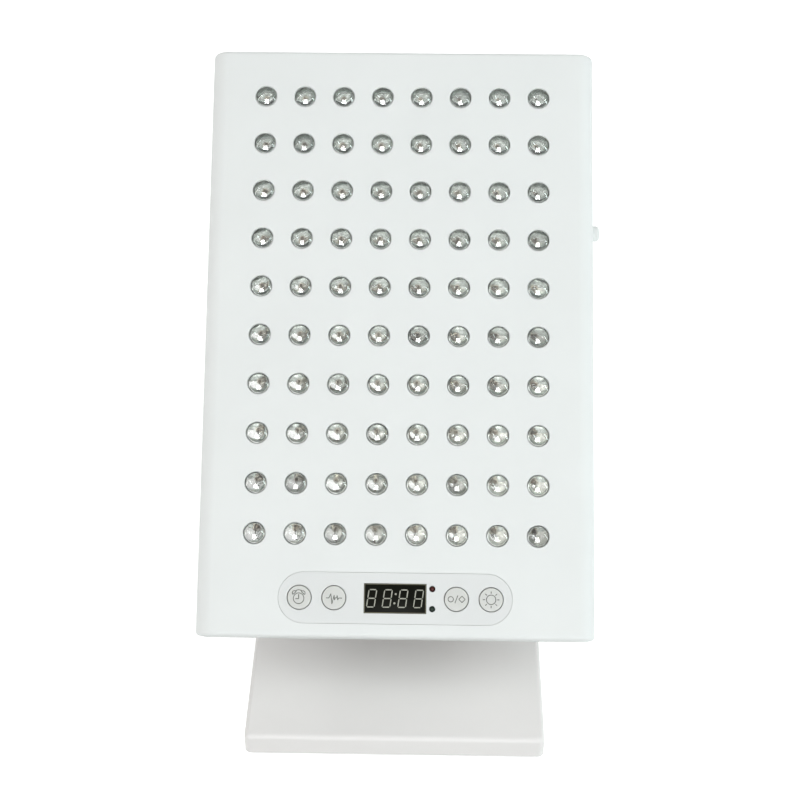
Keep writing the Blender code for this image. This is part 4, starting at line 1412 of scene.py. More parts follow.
    def chip_and_wire(self, name: str) -> bpy.types.Object:
        """The emitter's chip with its raised contact, and the wire that runs down from it.

        Args:
            name: the object's name.

        Returns:
            The chip and the wire, joined.
        """
        x, z = self.pad_at
        base = self.well_floor - 2 * self.lead_thickness
        top = base - self.chip_height
        half = self.chip / 2
        chip = block(name, (x - half, top, z - half), (x + half, base, z + half))
        with editing(chip, "FACE"):
            select_faces(chip, lambda middle, normal: normal.y < -0.5)
            bpy.ops.mesh.inset(thickness=self.chip / 5)
            raised = (0, -self.contact_height, 0)
            bpy.ops.mesh.extrude_region_move(TRANSFORM_OT_translate={"value": raised})
        crest = self.well_floor - 8 * self.lead_thickness
        route = [(x, top, z), (x + self.wire_crest[0], crest, z + self.wire_crest[1])]
        route += [(x, base, self.wire_foot)]
        return unite([chip, lines("bond_wire", [route], self.wire_radius, 0)])


def lines(
    name: str, routes: Sequence[Sequence[Point3]], radius: float, rounding: int
) -> bpy.types.Object:
    """Thin round lines as one mesh.

    Args:
        name: the object's name.
        routes: the points that each line runs through.
        radius: the lines' radius.
        rounding: how finely they are rounded.

    Returns:
        The lines.
    """
    curve = bpy.data.curves.new(name, "CURVE")
    curve.dimensions = "3D"
    curve.bevel_depth = radius
    curve.bevel_resolution = rounding
    curve.use_fill_caps = True
    for route in routes:
        spline = curve.splines.new("POLY")
        spline.points.add(len(route) - 1)
        for point, at in zip(spline.points, route):
            point.co = (*at, 1)
    obj = bpy.data.objects.new(name, curve)
    bpy.context.scene.collection.objects.link(obj)
    pick(obj)
    bpy.ops.object.convert(target="MESH")
    return bpy.context.active_object


def cap_arc(radius: float, rise: float, steps: int) -> list[Point2]:
    """A spherical cap's profile.

    Args:
        radius: its rim's radius.
        rise: how far its top is from its rim, along the axis.
        steps: how many lines it has.

    Returns:
        The profile, from its top on the axis to its rim at zero.
    """
    height = abs(rise)
    curve = (radius**2 + height**2) / (2 * height)
    half = math.degrees(math.asin(min(1.0, radius / curve)))
    side = math.copysign(1, rise)
    points = arc((0, height - curve), curve, 90, 90 - half, steps)
    return [(abs(a), side * b) for a, b in points[:-1]] + [(radius, 0)]


@dataclass
class Stroke:
    """One line of a key's printed symbol, in millimetres from the key's centre."""

    points: list[Point2]
    closed: bool = False


@dataclass
class ControlStrip:
    """The pill-shaped insert with its keys, clock display and indicators."""

    shop: Workshop
    shell: PanelShell
    layout: ControlLayout
    ink_width: float = 0.46 * MM
    ink_height: float = 0.05 * MM
    digit_pitch: float = 7.66 * MM
    digit_width: float = 3.75 * MM
    digit_height: float = 8.5 * MM
    segment_width: float = 0.52 * MM
    segment_gap: float = 0.42 * MM
    slant: float = 0.14
    bar_relief: Point2 = (-0.02 * MM, 0.1 * MM)
    dot_radius: float = 0.5 * MM
    dot_up: Point2 = (-2.3 * MM, 2.2 * MM)
    window_y: float = 0.3 * MM
    window_rim: float = 0.32 * MM
    window_play: float = 0.25 * MM
    window_edge: float = 0.08 * MM
    glass_ends: Point2 = (0.02 * MM, 0.4 * MM)
    frame_depth: float = 7.4 * MM
    frame_lip: float = 0.3 * MM
    frame_sink: float = 0.5 * MM
    face_y: float = 0.06 * MM
    seam: float = 0.1 * MM
    lip: float = 0.12 * MM
    flange: float = 1.8 * MM
    flange_thickness: float = 1.1 * MM
    key_edge: float = 0.35 * MM
    key_flange: float = 0.9 * MM
    key_flange_thickness: float = 0.7 * MM
    eye_play: float = 0.2 * MM
    indicator_y: float = 0.15 * MM
    indicator_end: float = 7.8 * MM

    def build(self) -> None:
        """Models the insert and all that sits in it."""
        self.insert()
        for body, x in self.layout.key_places().items():
            self.key(body, x)
        self.display()
        self.indicators()

    def insert(self) -> None:
        """The insert, with a rounded lip round its face's edge and holes for its keys, window and
        indicators.
        """
        layout = self.layout
        wall = self.shell.wall
        face = self.face_y
        ends = (-OVER, 2 * wall)
        insert = outlined("pill_insert", layout.pill(self.seam), Axis.Y, face, wall + 2 * GAP)
        round_edges(insert, self.lip, 3, lambda p, q: same(p.y, face) and same(q.y, face))
        seat = wall + GAP
        outline = layout.pill(-self.flange)
        flange = outlined("flange", outline, Axis.Y, seat, seat + self.flange_thickness)
        weld(insert, flange)
        cutters = [
            drum("key_hole", layout.key_hole_radius, Axis.Y, (x, layout.centre_z), *ends, 64)
            for x in layout.key_places().values()
        ]
        across = layout.display_width / 2 + self.window_play
        up = layout.display_height / 2 + self.window_play
        cutters.append(
            block(
                "window",
                (-across, ends[0], layout.centre_z - up),
                (across, ends[1], layout.centre_z + up),
            )
        )
        eye = layout.indicator_radius + self.eye_play
        for up in (-layout.indicator_up, layout.indicator_up):
            at = (layout.indicator_x, layout.centre_z + up)
            cutters.append(drum("eye", eye, Axis.Y, at, *ends, 32))
        carve(insert, unite(cutters))
        self.shop.dress(insert, Body.PANEL, "insert_white", "white_insert", ["control_insert"])
        flatten_normals(insert)

    def key(self, body: Body, x: float) -> None:
        """A key cap with a softened edge, and its printed symbol.

        Args:
            body: the key's body, which gives the cap its name.
            x: its place across the panel.
        """
        layout = self.layout
        face = -layout.key_proud
        stop = self.shell.wall + 2 * GAP + self.flange_thickness
        end = stop + self.key_flange_thickness
        edge = self.key_edge
        radius = layout.key_radius
        profile = [
            (0, face),
            *arc((radius - edge, face + edge), edge, -90, 0, 5),
            (radius, stop),
            (radius + self.key_flange, stop),
            (radius + self.key_flange, end),
            (0, end),
        ]
        name = body.value
        cap = turned(f"{name}_cap", profile, Axis.Y, (x, layout.centre_z), 72)
        self.shop.dress(cap, body, "key_grey", "key_cap", [name])
        symbol = self.symbol(f"{name}_symbol", SYMBOLS[body], x, face)
        self.shop.dress(symbol, body, "ink_grey", "key_cap")

    def symbol(self, name: str, strokes: list[Stroke], x: float, face: float) -> bpy.types.Object:
        """A symbol of thin printed lines, lying on a key's face.

        Args:
            name: the object's name.
            strokes: the symbol's strokes.
            x: the key's place across the panel.
            face: the face's depth.

        Returns:
            The symbol.
        """
        routes = []
        for stroke in strokes:
            points = [*stroke.points, stroke.points[0]] if stroke.closed else stroke.points
            ends = [(a * MM, 0, b * MM) for a, b in points]
            routes += zip(ends, ends[1:])
        symbol = lines(name, routes, self.ink_width / 2, 1)
        symbol.scale.y = self.ink_height / self.ink_width
        symbol.location = (x, face, self.layout.centre_z)
        apply_place(symbol)
        return symbol

    def display(self) -> None:
        """The clock display: its frame, black window, segments and colon."""
        layout = self.layout
        half = layout.display_width / 2
        low = layout.centre_z - layout.display_height / 2
        high = layout.centre_z + layout.display_height / 2
        front = self.window_y
        back = front + self.frame_depth
        frame = block("display_frame", (-half, front, low), (half, back, high))
        with editing(frame, "FACE"):
            select_faces(frame, lambda middle, normal: same(middle.y, front))
            bpy.ops.mesh.inset(thickness=self.frame_lip)
            sunk = (0, self.frame_sink, 0)
            bpy.ops.mesh.extrude_region_move(TRANSFORM_OT_translate={"value": sunk})
        self.shop.dress(frame, Body.PANEL, "display_rim", "display_black", ["display_module"])
        rim = self.window_rim
        glass, rear = (front + depth for depth in self.glass_ends)
        window = block(
            "display_window", (-half + rim, glass, low + rim), (half - rim, rear, high - rim)
        )
        round_edges(
            window, self.window_edge, 2, lambda p, q: same(p.y, glass) and same(q.y, glass)
        )
        self.shop.dress(window, Body.PANEL, "display_black", "display_black")
        digits = unite([*self.segments(), *self.colon()])
        digits.name = "display_segments"
        self.shop.dress(digits, Body.PANEL, "segment_grey", "display_black")

    def segments(self) -> list[bpy.types.Object]:
        """The seven bars of each digit, pointed at both ends and slanted.

        Returns:
            The bars.
        """
        reach = self.digit_width / 2
        rise = self.digit_height / 4
        spots = [(0, 2 * rise, False), (0, 0, False), (0, -2 * rise, False)]
        spots += [(side * reach, up * rise, True) for side in (-1, 1) for up in (-1, 1)]
        bars = []
        for digit in range(4):
            middle = (digit - 1.5) * self.digit_pitch
            for x, z, upright in spots:
                length = (2 * rise if upright else 2 * reach) - self.segment_gap
                bars.append(self.bar(middle + x, z, length, upright))
        return bars

    def bar(self, x: float, z: float, length: float, upright: bool) -> bpy.types.Object:
        """One bar of a digit: six corners, pulled out of the window's face.

        Args:
            x: its middle across the panel.
            z: its middle's height over the display's.
            length: its length.
            upright: whether it stands.

        Returns:
            The bar.
        """
        half = length / 2
        width = self.segment_width / 2
        corners = [(half, 0), (half - width, width), (width - half, width)]
        corners += [(-half, 0), (width - half, -width), (half - width, -width)]
        if upright:
            corners = [(-b, a) for a, b in corners]
        outline = [
            (x + a + (z + b) * self.slant, self.layout.centre_z + z + b) for a, b in corners
        ]
        return outlined("bar", outline, Axis.Y, *self.segment_ends)

    @property
    def segment_ends(self) -> tuple[float, float]:
        """The depths between which the display's bars and dots lie."""
        return self.window_y + self.bar_relief[0], self.window_y + self.bar_relief[1]

    def colon(self) -> list[bpy.types.Object]:
        """The two dots between the hours and the minutes.

        Returns:
            The dots.
        """
        dots = []
        for up in self.dot_up:
            at = (up * self.slant, self.layout.centre_z + up)
            dots.append(drum("dot", self.dot_radius, Axis.Y, at, *self.segment_ends, 16))
        return dots

    def indicators(self) -> None:
        """Two small domed indicators, one red and one green, both unlit."""
        layout = self.layout
        for name, finish, up in (
            ("indicator_upper", "indicator_red", layout.indicator_up),
            ("indicator_lower", "indicator_green", -layout.indicator_up),
        ):
            radius = layout.indicator_radius
            dome = arc((0, self.indicator_y + radius), radius, -90, 0, 8)
            profile = [*dome, (radius, self.indicator_end), (0, self.indicator_end)]
            at = (layout.indicator_x, layout.centre_z + up)
            piece = turned(f"{name}_dome", profile, Axis.Y, at, 32)
            self.shop.dress(piece, Body.PANEL, finish, finish, [name])


def ring(radius: float, centre: Point2 = (0, 0), steps: int = 32) -> Stroke:
    """A closed round stroke."""
    return Stroke(arc(centre, radius, 0, 360, steps)[:-1], closed=True)


def alarm_clock() -> list[Stroke]:
    """A clock face with two hands, two bells and the handle between them.

    Returns:
        The strokes.
    """
    face = (-0.25, -0.5)
    strokes = [ring(2.6, face)]
    strokes.append(Stroke([(-0.25, 1.5), (-0.25, -0.7), (-1.8, -0.7)]))
    strokes.append(Stroke(arc((-0.25, 1.2), 2.45, 52, 128, 6)))
    for side in (-1, 1):
        bell_at = (face[0] + side * 2.05, 2.05)
        bell = [turn_point(p, bell_at, -side * 42) for p in arc(bell_at, 1.1, 0, 180, 10)]
        strokes.append(Stroke(bell, closed=True))
    return strokes


def turn_point(point: Point2, centre: Point2, degrees: float) -> Point2:
    """Turns a point about a centre.

    Args:
        point: the point.
        centre: the centre.
        degrees: the angle, anticlockwise.

    Returns:
        The turned point.
    """
    t = math.radians(degrees)
    a, b = point[0] - centre[0], point[1] - centre[1]
    return (
        centre[0] + a * math.cos(t) - b * math.sin(t),
        centre[1] + a * math.sin(t) + b * math.cos(t),
    )


def pulse_wave() -> list[Stroke]:
    """A level line with a tall beat and two small ones after it.

    Returns:
        The strokes.
    """
    beat = [(-3.8, -0.15), (-2.4, -0.15), (-1.5, 1.95), (-0.9, -3.1), (0.15, 1.3), (0.4, -1.2)]
    beat += [(0.7, -0.05), (1.4, -0.05), (1.6, 1.1), (1.95, -1.15), (2.3, -0.15), (4.0, -0.15)]
    return [Stroke(beat)]


def mode_choice() -> list[Stroke]:
    """A circle and a diamond with a slanted bar between them, for one mode or the other.

    Returns:
        The strokes.
    """
    side = 2.75
    reach = 1.55
    diamond = [(side + reach, 0), (side, reach), (side - reach, 0), (side, -reach)]
    bar = Stroke([(-0.7, -1.9), (0.7, 1.9)])
    return [ring(1.3, (-side, 0), 24), bar, Stroke(diamond, closed=True)]


def sun() -> list[Stroke]:
    """A circle with eight short rays.

    Returns:
        The strokes.
    """
    strokes = [ring(2.3)]
    for ray in range(8):
        angle = math.radians(45 * ray)
        across, up = math.cos(angle), math.sin(angle)
        strokes.append(Stroke([(reach * across, reach * up) for reach in (2.95, 4.05)]))
    return strokes


SYMBOLS = {
    Body.KEY_TIMER: alarm_clock(),
    Body.KEY_PULSE: pulse_wave(),
    Body.KEY_MODE: mode_choice(),
    Body.KEY_BRIGHTNESS: sun(),
}


@dataclass
class PowerButton:
    """The round push button in the right side wall."""

    shop: Workshop
    shell: PanelShell
    y: float = 15 * MM
    z: float = 208.1 * MM
    radius: float = 4 * MM
    proud: float = 3.9 * MM
    edge: float = 2 * MM
    flange: float = 0.9 * MM
    flange_thickness: float = 1.4 * MM
    dish: float = 0.2 * MM

    def build(self) -> None:
        """Models the button and dresses it."""
        foot = self.shell.width / 2 - self.shell.wall - GAP
        tip = self.shell.width / 2 + self.proud
        wide = self.radius + self.flange
        profile = [
            (0, foot - self.flange_thickness),
            (wide, foot - self.flange_thickness),
            (wide, foot),
            (self.radius, foot),
            *arc((self.radius - self.edge, tip - self.edge), self.edge, 0, 90, 6),
            (0.45 * self.radius, tip),
            (0.35 * self.radius, tip - 0.6 * self.dish),
            (0, tip - self.dish),
        ]
        button = turned("power_button_cap", profile, Axis.X, (self.y, self.z), 64)
        self.shop.dress(
            button, Body.POWER_BUTTON, "housing_white", "white_housing", ["power_button"]
        )


@dataclass
class ScrewMaker:
    """Pan-head screws with a cross recess."""

    shop: Workshop
    head_radius: float = 2.8 * MM
    shank_radius: float = 1.45 * MM
    tip_radius: float = 0.9 * MM
    tip_length: float = 0.2 * MM
    recess_reach: float = 1.5 * MM
    recess_half: float = 0.32 * MM
    recess_taper: float = 0.45

    def screw(
        self, node: str, body: Body, seat: Vector, outwards: Vector, head: float, length: float
    ) -> None:
        """Makes one screw and stands it in its place.

        Args:
            node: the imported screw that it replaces.
            body: the body that it rides on.
            seat: where its head's underside sits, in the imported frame.
            outwards: the direction that its head points.
            head: the head's height.
            length: the shank's length.
        """
        radius = self.head_radius
        crown = arc((0, head - 2 * radius), 2 * radius, 90, 62, 6)
        end = -length - self.tip_length
        shank = [(self.shank_radius, 0), (self.shank_radius, -length)]
        shank += [(self.tip_radius, end), (0, end)]
        profile = [*crown, (radius, 0.25 * head), (radius, 0), *shank]
        piece = turned(f"{node}_cross", profile, Axis.Z, steps=32)
        reach, half = self.recess_reach, self.recess_half
        slots = []
        for a, b in ((reach, half), (half, reach)):
            slot = block("recess", (-a, -b, 0.35 * head), (a, b, 2 * head))
            with editing(slot, "FACE"):
                select_faces(slot, lambda middle, normal: normal.z < -0.5)
                bpy.ops.transform.resize(value=(self.recess_taper, self.recess_taper, 1))
            slots.append(slot)
        carve(piece, *slots)
        turn = outwards.to_track_quat("Z", "Y").to_matrix().to_4x4()
        piece.matrix_world = Matrix.Translation(seat) @ turn
        apply_place(piece)
        self.shop.dress(piece, body, "steel", "steel", [node], in_panel=False)


@dataclass
class PanelHardware:
    """What is fixed to the panel's back: the hinge bracket, the screws and the inlet."""

    shop: Workshop
    shell: PanelShell
    fixings: RearFixings
    bracket_low: float = 9 * MM
    bracket_high: float = 60 * MM
    bracket_half: float = 30 * MM
    bracket_thickness: float = 3 * MM
    bracket_corner: float = 5 * MM
    bracket_edge: float = 0.5 * MM
    barrel_radius: float = 9.5 * MM
    barrel_half: float = 15.3 * MM
    neck_flare: float = 2.5 * MM
    pin_radius: float = 3 * MM
    screw_head: float = 1.6 * MM
    cover_screw_length: float = 19 * MM
    cover_screw_sink: float = 1 * MM
    bracket_screw_length: float = 11 * MM
    inlet_recess: float = 0.1 * MM
    inlet_length: float = 14 * MM
    inlet_depth: float = 9.5 * MM
    inlet_bore: float = 2.8 * MM
    inlet_lip: float = 0.3 * MM
    contact_radius: float = 1 * MM
    contact_tip_radius: float = 0.6 * MM

    def build(self) -> None:
        """Models each piece and dresses it."""
        self.bracket()
        self.screws()
        self.inlet()

    def bracket(self) -> None:
        """A rounded plate, a tapering neck and the hinge's barrel."""
        shop = self.shop
        near = self.shell.thickness + GAP
        far = near + self.bracket_thickness
        height = self.bracket_high - self.bracket_low
        middle = (self.bracket_high + self.bracket_low) / 2
        size = (2 * self.bracket_half, height)
        outline = rounded_rectangle(*size, self.bracket_corner, 10, (0, middle))
        bracket = outlined("hinge_plate", outline, Axis.Y, near, far)
        round_edges(
            bracket, self.bracket_edge, 3, lambda p, q: same(p.y, far) and same(q.y, far)
        )
        centre = (shop.axis_depth, shop.axis_up)
        root = self.barrel_radius + self.neck_flare
        neck = [(far - OVER, shop.axis_up - root)]
        neck += arc(centre, self.barrel_radius, -90, 90, 32)
        neck += [(far - OVER, shop.axis_up + root)]
        barrel = outlined("barrel", neck, Axis.X, -self.barrel_half, self.barrel_half)
        weld(bracket, barrel)
        wide = self.barrel_half + OVER
        holes = [drum("pin_hole", self.pin_radius + GAP, Axis.X, centre, -wide, wide, 40)]
        holes += [
            drum("screw_hole", SCREW_HOLE, Axis.Y, at, near - OVER, far + OVER, 24)
            for at in self.fixings.bracket_screws()
        ]
        carve(bracket, *holes)
        shop.dress(bracket, Body.PANEL, "housing_white", "white_housing", ["hinge_bracket"])
        flatten_normals(bracket)

    def screws(self) -> None:
        """The cover's screws and the bracket's."""
        maker = ScrewMaker(self.shop)
        place = self.shop.panel_place
        outwards = place.to_3x3() @ Vector((0, 1, 0))
        cover_seat = self.shell.thickness - self.cover_screw_sink + GAP
        bracket_seat = self.shell.thickness + 2 * GAP + self.bracket_thickness
        for name, spots, seat, length in (
            ("cover_screw", self.shell.bosses(), cover_seat, self.cover_screw_length),
            ("bracket_screw", self.fixings.bracket_screws(), bracket_seat, self.bracket_screw_length),
        ):
            for number, (x, z) in enumerate(spots, start=1):
                spot = place @ Vector((x, seat, z))
                maker.screw(
                    f"{name}_{number}", Body.PANEL, spot, outwards, self.screw_head, length
                )

    def inlet(self) -> None:
        """The low-voltage inlet: a sleeve with a contact pin in its bore."""
        mouth = self.shell.thickness - self.inlet_recess
        end = mouth - self.inlet_length
        floor = mouth - self.inlet_depth
        outer = self.fixings.inlet_radius
        bore = self.inlet_bore
        lip = self.inlet_lip
        profile = [
            (0, end),
            (outer, end),
            *arc((outer - lip, mouth - lip), lip, 0, 90, 4),
            *arc((bore + lip, mouth - lip), lip, 90, 180, 4),
            (bore, floor),
            (self.contact_radius, floor),
            (self.contact_radius, mouth - 1.5 * MM),
            (self.contact_tip_radius, mouth - 1 * MM),
            (0, mouth - 0.9 * MM),
        ]
        inlet = turned("inlet_socket", profile, Axis.Y, self.fixings.inlet_at, 48)
        self.shop.dress(inlet, Body.PANEL, "black_plastic", "black_plastic", ["power_inlet"])


@dataclass
class TiltPost:
    """The stand's half of the hinge, with its end caps."""

    shop: Workshop
    base_top: float = 13 * MM
    foot_thickness: float = 6 * MM
    foot_front: float = -24 * MM
    foot_rear: float = 24 * MM
    web_radius: float = 11 * MM
    ear_inner: float = 17 * MM
    ear_outer: float = 31 * MM
    ear_radius: float = 9.5 * MM
    pin_radius: float = 3 * MM
    bore_half: float = 40 * MM
    core_x: tuple[float, ...] = (-17 * MM, 0, 17 * MM)
    core_half: float = 6.5 * MM
    core_corner: float = 1.2 * MM
    edge: float = 0.4 * MM
    cap_rise: float = 2 * MM
    cap_edge: float = 1.2 * MM

    def build(self) -> None:
        """Models the post and the caps and dresses them."""
        self.post()
        for side, name in ((-1, "left"), (1, "right")):
            self.cap(side, name)

    @property
    def axis(self) -> Point2:
        """The hinge's place in the side view."""
        hinge = self.shop.joint("panel_tilt")["pos_m"]
        return hinge[1], hinge[2]

    def post(self) -> None:
        """A foot, a tapering web and two ears, slotted for the barrel and cored from behind."""
        axis_y, axis_z = self.axis
        low = self.base_top + GAP
        high = low + self.foot_thickness
        outline = [(self.foot_front, low), (self.foot_rear, low), (self.foot_rear, high)]
        web = (self.foot_rear - 2 * MM, high + self.web_radius)
        outline += arc(web, self.web_radius, 270, 200, 14)
        outline += arc((axis_y, axis_z), self.ear_radius, 10, 180, 32)
        outline += [(axis_y - self.ear_radius, axis_z - 6 * MM), (self.foot_front + MM, high + 9 * MM)]
        outline += [(self.foot_front, high)]
        post = outlined("hinge_post", outline, Axis.X, -self.ear_outer, self.ear_outer)
        slot = block(
            "slot",
            (-self.ear_inner, axis_y - 30 * MM, axis_z - self.ear_radius - 3 * MM),
            (self.ear_inner, axis_y + 40 * MM, axis_z + 20 * MM),
        )
        reach = self.bore_half
        bore = drum("bore", self.pin_radius + GAP, Axis.X, self.axis, -reach, reach, 40)
        cores = []
        for x in self.core_x:
            core = block(
                "core",
                (x - self.core_half, axis_y - 1 * MM, high + 8 * MM),
                (x + self.core_half, self.foot_rear + OVER, axis_z - self.ear_radius - 5 * MM),
            )
            round_edges(core, self.core_corner, 4, lambda p, q: not same(p.y, q.y))
            cores.append(core)
        carve(post, slot, bore, *cores)
        soften = post.modifiers.new("Soften", "BEVEL")
        soften.width = self.edge
        soften.segments = 2
        soften.limit_method = "ANGLE"
        soften.angle_limit = math.radians(40)
        pick(post)
        bpy.ops.object.modifier_apply(modifier=soften.name)
        self.shop.dress(
            post, Body.STAND, "base_white", "white_housing", ["stand_post"], in_panel=False
        )
        flatten_normals(post)

    def cap(self, side: int, name: str) -> None:
        """A domed cap over one end of the hinge pin.

        Args:
            side: -1 for the left end and 1 for the right one.
            name: the end's name.
        """
        radius = self.ear_radius - 1 * MM
        seat = side * (self.ear_outer + GAP)
        rise = self.cap_rise
        edge = arc((radius - self.cap_edge, self.cap_edge / 2), self.cap_edge, 0, 80, 6)
        profile = [(0, seat), (radius, seat)]
        profile += [(r, seat + side * min(rise, along)) for r, along in edge]
        profile += [(0, seat + side * rise)]
        node = f"hinge_cap_{name}"
        cap = turned(f"{node}_dome", profile, Axis.X, self.axis, 64)
        self.shop.dress(cap, Body.STAND, "base_white", "white_housing", [node], in_panel=False)


@dataclass
class Base:
    """The base: a white shell over its cover, non-slip pad and screws."""

    shop: Workshop
    width: float = 150 * MM
    depth: float = 190 * MM
    low: float = MM
    high: float = 13 * MM
    corner_radius: float = 3 * MM
    edge_radius: float = 2.5 * MM
    wall: float = 2.5 * MM
    roof: float = 3.5 * MM
    cover_thickness: float = 2 * MM
    cover_corner: float = 0.8 * MM
    cover_edge: float = 0.25 * MM
    seat_radius: float = 3.15 * MM
    seat_depth: float = 0.9 * MM
    pad_size: Point2 = (140 * MM, 180 * MM)
    pad_corner: float = 6 * MM
    pad_edge: float = 0.3 * MM
    pad_thickness: float = 0.9 * MM
    screw_x: float = 66 * MM
    screw_y: float = 86 * MM
    screw_head: float = 0.5 * MM
    screw_length: float = 5.6 * MM

    def build(self) -> None:
        """Models the base's pieces and dresses them."""
        self.shell()
        self.cover()
        self.pad()
        self.screws()

    def shell(self) -> None:
        """A hollow block with rounded corners and softened top edges."""
        x, y = self.width / 2, self.depth / 2
        shell = block("base_top", (-x, -y, self.low), (x, y, self.high))
        round_edges(shell, self.corner_radius, 8, lambda p, q: not same(p.z, q.z))
        round_edges(
            shell, self.edge_radius, 8, lambda p, q: same(p.z, self.high) and same(q.z, self.high)
        )
        x, y = x - self.wall, y - self.wall
        carve(shell, block("hollow", (-x, -y, 0), (x, y, self.high - self.roof)))
        self.shop.dress(
            shell, Body.STAND, "base_white", "white_housing", ["base_shell"], in_panel=False
        )
        flatten_normals(shell)

    def cover(self) -> None:
        """The plate that closes the base from below, with its screw seats."""
        low = self.pad_thickness + GAP
        high = low + self.cover_thickness
        width = self.width - 2 * (self.wall + GAP)
        depth = self.depth - 2 * (self.wall + GAP)
        outline = rounded_rectangle(width, depth, self.cover_corner, 3)
        cover = outlined("base_plate", outline, Axis.Z, low, high)
        round_edges(cover, self.cover_edge, 2, lambda p, q: same(p.z, low) and same(q.z, low))
        cutters = []
        for at in self.corners():
            cutters.append(
                drum("seat", self.seat_radius, Axis.Z, at, 0, low + self.seat_depth, 32)
            )
            cutters.append(drum("hole", SCREW_HOLE, Axis.Z, at, 0, high + OVER, 24))
        carve(cover, *cutters)
        self.shop.dress(
            cover, Body.STAND, "black_plastic", "black_plastic", ["base_cover"], in_panel=False
        )

    def pad(self) -> None:
        """A thin rubber pad with rounded corners and a softened lower edge."""
        outline = rounded_rectangle(*self.pad_size, self.pad_corner, 12)
        pad = outlined("rubber_pad", outline, Axis.Z, 0, self.pad_thickness)
        round_edges(pad, self.pad_edge, 3, lambda p, q: same(p.z, 0) and same(q.z, 0))
        self.shop.dress(pad, Body.STAND, "rubber", "rubber", ["non_slip_pad"], in_panel=False)

    def corners(self) -> list[Point2]:
        """The places of the cover's four screws."""
        return [(x, y) for x in (-self.screw_x, self.screw_x) for y in (-self.screw_y, self.screw_y)]

    def screws(self) -> None:
        """The cover's screws."""
        maker = ScrewMaker(self.shop)
        seat = self.pad_thickness + self.seat_depth
        down = Vector((0, 0, -1))
        for number, (x, y) in enumerate(self.corners(), start=1):
            spot = Vector((x, y, seat))
            name = f"base_screw_{number}"
            maker.screw(name, Body.STAND, spot, down, self.screw_head, self.screw_length)


@dataclass(frozen=True)
class SoftLamp:
    """A rectangular soft lamp that faces the panel."""

    name: str
    at: Point3
    size: Point2
    power: float
    tint: Colour = (1.0, 1.0, 1.0)
    in_gloss: bool = True
    aim: Point3 = (0, 0.02, 0.12)

    def hang(self) -> bpy.types.Object:
        """Puts the lamp in the scene.

        Returns:
            The lamp.
        """
        light = bpy.data.lights.new(self.name, "AREA")
        light.shape = "RECTANGLE"
        light.size, light.size_y = self.size
        light.energy = self.power
        light.color = self.tint
        lamp = bpy.data.objects.new(self.name, light)
        bpy.context.scene.collection.objects.link(lamp)
        lamp.location = self.at
        way = Vector(self.aim) - lamp.location
        lamp.rotation_euler = way.to_track_quat("-Z", "Y").to_euler()
        lamp.visible_glossy = self.in_gloss
        return lamp


LAMPS = (
    SoftLamp("key_light", (0.85, -0.9, 1.05), (0.8, 0.8), 2.58, (0.96, 1.0, 1.0)),
    SoftLamp("fill_light", (-0.95, -0.75, 1.0), (0.8, 0.8), 3.3, (1.0, 1.0, 0.98)),
    SoftLamp("low_light", (0.1, -1.2, 0.58), (0.9, 0.3), 1.9, (1.0, 1.0, 0.99)),
    SoftLamp("left_light", (-1.15, -0.3, 0.6), (0.2, 0.9), 2.6, (1.0, 1.0, 0.98)),
    SoftLamp("side_light", (1.15, -0.4, 0.6), (0.2, 0.9), 6.1, (0.88, 1.0, 1.0)),
    SoftLamp("back_light", (0.2, 1.2, 0.45), (0.8, 0.4), 2.2, (1.0, 0.99, 0.98)),
    SoftLamp("overhead_light", (0.1, -0.3, 1.35), (0.5, 0.5), 0.6, in_gloss=False),
)


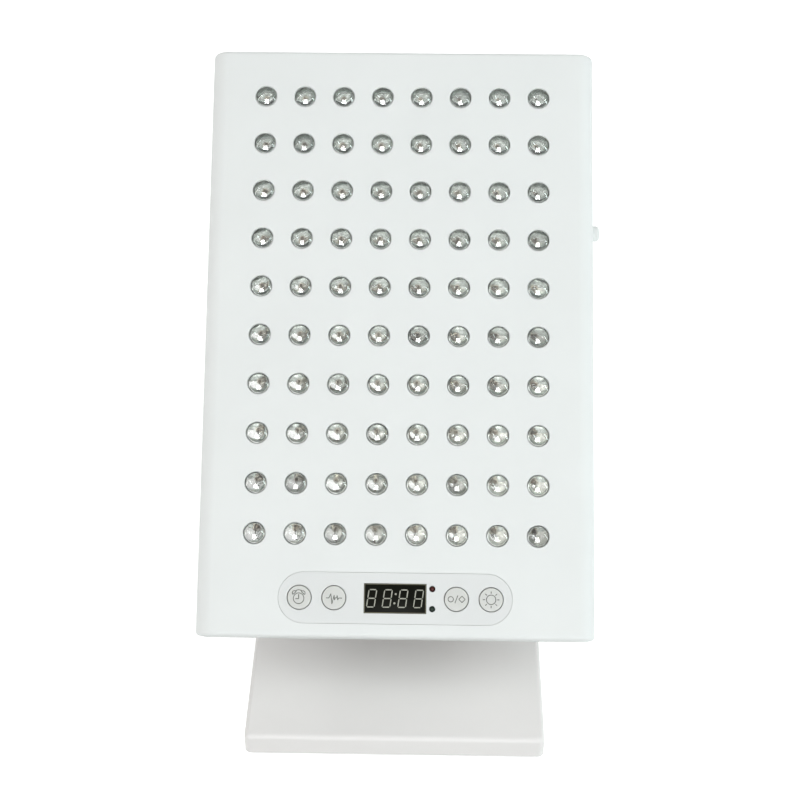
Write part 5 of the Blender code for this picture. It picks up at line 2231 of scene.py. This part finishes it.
@dataclass
class Studio:
    """The floor, the lamps, the world and the camera."""

    lens: float = 76.5
    sensor: float = 36.0
    clip_start: float = 0.01
    camera_at: Point3 = (0.01604, -0.65025, 0.67278)
    camera_turn: Point3 = (51.364, 0.124, 1.199)
    floor_size: float = 6.0
    floor_glow: float = 0.48
    sky: float = 0.56

    def build(self) -> None:
        """Sets up everything that isn't part of the object."""
        self.world()
        self.floor()
        for lamp in LAMPS:
            lamp.hang()
        self.catch_light()
        self.camera()
        bpy.context.scene.view_settings.view_transform = "Standard"

    def world(self) -> None:
        """A white surround for what looks at it, and a dimmer one for what it lights."""
        world = bpy.data.worlds.new("surround")
        world.use_nodes = True
        bpy.context.scene.world = world
        tree = world.node_tree
        background = tree.nodes["Background"]
        background.inputs["Color"].default_value = (1, 1, 1, 1)
        seen = self.seen_directly(tree)
        level = tree.nodes.new("ShaderNodeMapRange")
        level.inputs["To Min"].default_value = self.sky
        level.inputs["To Max"].default_value = 1.0
        tree.links.new(seen, level.inputs["Value"])
        tree.links.new(level.outputs["Result"], background.inputs["Strength"])

    def seen_directly(self, tree: bpy.types.NodeTree) -> bpy.types.NodeSocket:
        """Tells what is looked at from what only lights.

        Args:
            tree: the node tree to add to.

        Returns:
            A socket, 1 where the camera, a gloss or a clear piece looks and 0 for soft light.
        """
        path = tree.nodes.new("ShaderNodeLightPath")
        socket = path.outputs["Is Camera Ray"]
        for name in ("Is Glossy Ray", "Is Transmission Ray"):
            larger = tree.nodes.new("ShaderNodeMath")
            larger.operation = "MAXIMUM"
            tree.links.new(socket, larger.inputs[0])
            tree.links.new(path.outputs[name], larger.inputs[1])
            socket = larger.outputs[0]
        return socket

    def floor(self) -> None:
        """A pale floor that shows white and keeps the object's shadow."""
        deselect()
        bpy.ops.mesh.primitive_plane_add(size=self.floor_size)
        floor = bpy.context.active_object
        floor.name = "floor"
        material = bpy.data.materials.new("floor_white")
        material.use_nodes = True
        tree = material.node_tree
        shader = tree.nodes["Principled BSDF"]
        shader.inputs["Base Color"].default_value = (0.9, 0.9, 0.9, 1)
        shader.inputs["Roughness"].default_value = 0.9
        shader.inputs["Specular IOR Level"].default_value = 0.0
        shader.inputs["Emission Color"].default_value = (1, 1, 1, 1)
        level = tree.nodes.new("ShaderNodeMath")
        level.operation = "MULTIPLY"
        level.inputs[1].default_value = self.floor_glow
        tree.links.new(self.seen_directly(tree), level.inputs[0])
        tree.links.new(level.outputs[0], shader.inputs["Emission Strength"])
        floor.data.materials.append(material)

    def catch_light(self) -> None:
        """A large soft window that only the lenses' and the mouldings' gloss picks up."""
        window = SoftLamp("catch_light", (-0.1, -2.53, 1.52), (1.6, 2.1), 240).hang()
        way = Vector((0, 0.99, 0.142))
        window.rotation_euler = way.to_track_quat("-Z", "Y").to_euler()
        window.visible_diffuse = False
        window.visible_transmission = False

    def camera(self) -> None:
        """The camera at the photograph's angle."""
        data = bpy.data.cameras.new("camera")
        data.lens = self.lens
        data.sensor_width = self.sensor
        data.clip_start = self.clip_start
        camera = bpy.data.objects.new("camera", data)
        bpy.context.scene.collection.objects.link(camera)
        camera.location = self.camera_at
        camera.rotation_euler = [math.radians(angle) for angle in self.camera_turn]
        bpy.context.scene.camera = camera


def repaint_inner_nodes(shop: Workshop) -> None:
    """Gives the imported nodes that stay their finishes.

    Args:
        shop: the workshop.
    """
    shop.repaint("aluminium", "heat_sink")
    shop.repaint("circuit_board", "control_board", "driver_board")
    shop.repaint("black_plastic", "fan_frame", "fan_rotor", "power_switch", "buzzer")
    shop.repaint("lead_jacket", "inlet_lead", "lamp_lead", "fan_lead")
    shop.repaint("steel", "ballast_plate", "hinge_pin", "friction_washer_left", "friction_washer_right")
    shop.repaint("steel", *(f"post_screw_{number}" for number in range(1, 5)))


def main() -> None:
    """Builds the sub-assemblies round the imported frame, then the studio."""
    logging.basicConfig(level=logging.INFO, format="%(message)s")
    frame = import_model()
    shop = Workshop(frame, Finishes())
    shell, grid, controls = PanelShell(), LampGrid(), ControlLayout()
    button, fixings = PowerButton(shop, shell), RearFixings()
    FrontHousing(shop, shell, grid, controls, button).build()
    RearCover(shop, shell, fixings).build()
    LampField(shop, grid).build()
    ControlStrip(shop, shell, controls).build()
    button.build()
    PanelHardware(shop, shell, fixings).build()
    TiltPost(shop).build()
    Base(shop).build()
    repaint_inner_nodes(shop)
    Studio().build()
    LOG.info("%d pieces made", len(shop.pieces))


if __name__ == "__main__":
    main()
